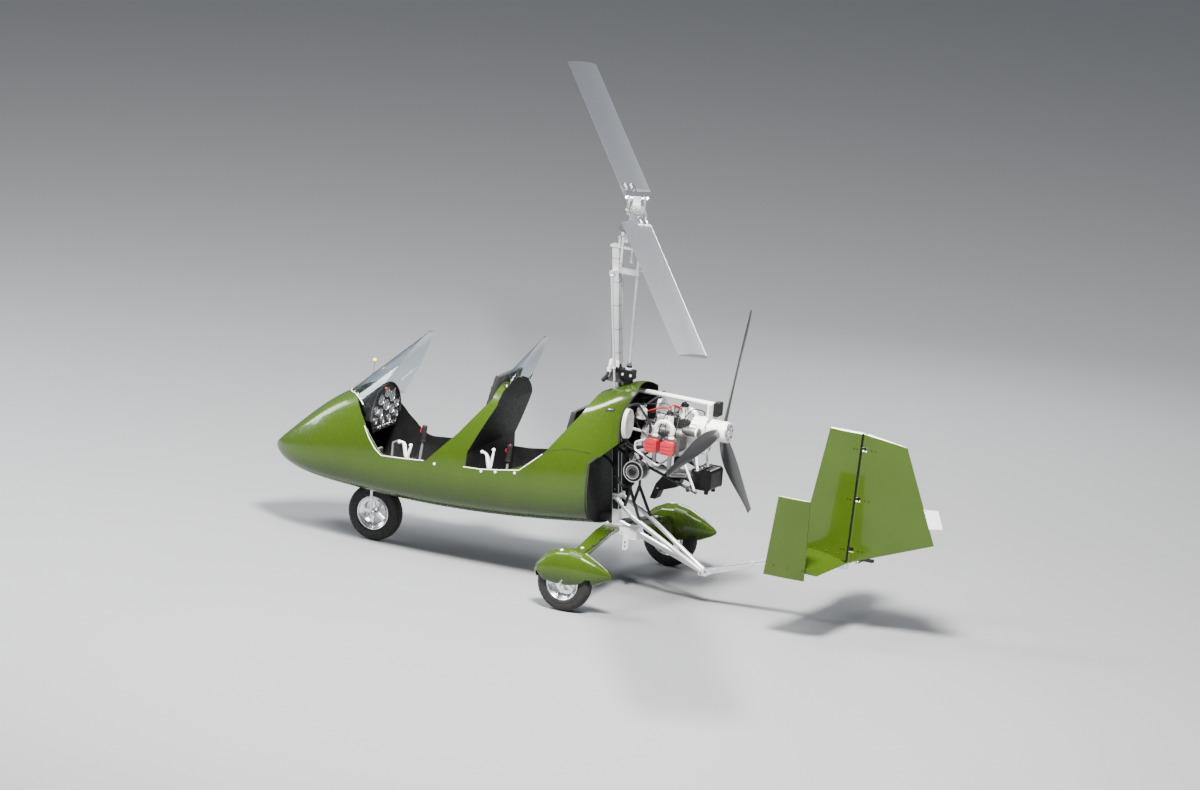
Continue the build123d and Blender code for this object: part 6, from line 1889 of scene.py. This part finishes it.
gimbal_bits = bmesh.new()
for side in (-1, 1):
    turned(gimbal_bits, [(0.0, 0), (0.012, 0), (0.012, 0.006), (0.0085, 0.008), (0.0, 0.008)],
           (pitch_x + side * 0.0662, 0, pitch_z), (side, 0, 0), 6)
make_piece(gimbal_bits, "roll_pin_nuts", gear_steel, "gimbal")

# %% Hub bolts and blade roots
azimuth = radians(122)
span = at(cos(azimuth), sin(azimuth), 0)
chordwise = at(-sin(azimuth), cos(azimuth), 0)
hub_centre = at(-0.03, 0, 0)
teeter_height = at(0, 0, 2.766)
bar_top, bar_belly = at(0, 0, 2.7242), at(0, 0, 2.6878)
washer = [(0.0093, 0), (0.021, 0), (0.021, 0.003), (0.0165, 0.0045), (0.0093, 0.0045)]
nut = [(0, 0), (0.014, 0), (0.014, 0.008), (0.0118, 0.01), (0.0118, 0.0135), (0, 0.0135)]
tower_bits, rotor_bits, rotor_dark = open_meshes(3)
for side in (-1, 1):
    for along in (-0.018, 0.018):
        spot = hub_centre + span * along + chordwise * side * 0.0632 + at(0, 0, 2.676)
        bolt(tower_bits, spot, chordwise * side, 0.0052)
    spot = hub_centre + chordwise * side * 0.0632 + teeter_height
    turned(tower_bits, washer, spot, chordwise * side, 32, closed=True)
    spot = hub_centre + chordwise * side * 0.0672 + teeter_height
    turned(rotor_bits, nut, spot, chordwise * side, 6)
    spot = hub_centre + chordwise * side * 0.0765 + teeter_height
    tube(rotor_bits, [spot + span * -0.017, spot + span * 0.017], 0.0013, 6)
for half in (-1, 1):
    for number in range(5):
        for across in (-1, 1):
            along = half * (0.48 + 0.021 * number)
            spot = hub_centre + span * along + chordwise * across * 0.02
            bolt(rotor_bits, spot + bar_top, (0, 0, 1), 0.0068)
            bolt(rotor_bits, spot + bar_belly, (0, 0, -1), 0.0068)
    for along in (0.1, 0.16, 0.4):
        for across in (-1, 1):
            spot = hub_centre + span * half * along + chordwise * across * 0.026
            bolt(rotor_dark, spot + bar_top, (0, 0, 1), 0.0062)
make_piece(tower_bits, "teeter_bolts", gear_steel, "rotor_tower")
make_piece(rotor_bits, "hub_bolts", turned_alloy, "rotor")
make_piece(rotor_dark, "hub_bar_bolts", gear_steel, "rotor")

# %% Blade edge strips
strip_shape = bmesh.new()
for half in (-1, 1):
    nose_line = []
    for step in range(60):
        distance = 0.62 + (4.16 - 0.62) * step / 59
        spot = hub_centre + span * half * distance
        start = spot + chordwise * half * 0.3 + at(0, 0, 2.7035)
        hit, normal = feel(parts["rotor_blades"], start, -chordwise * half, 0.5)
        if hit is not None:
            nose_line.append(hit + normal * 0.0006)
    if len(nose_line) > 2:
        tube(strip_shape, nose_line, 0.0016, 6)
make_piece(strip_shape, "blade_edge_strips", gear_steel, "rotor", 60)
print("rotor head bolted up")
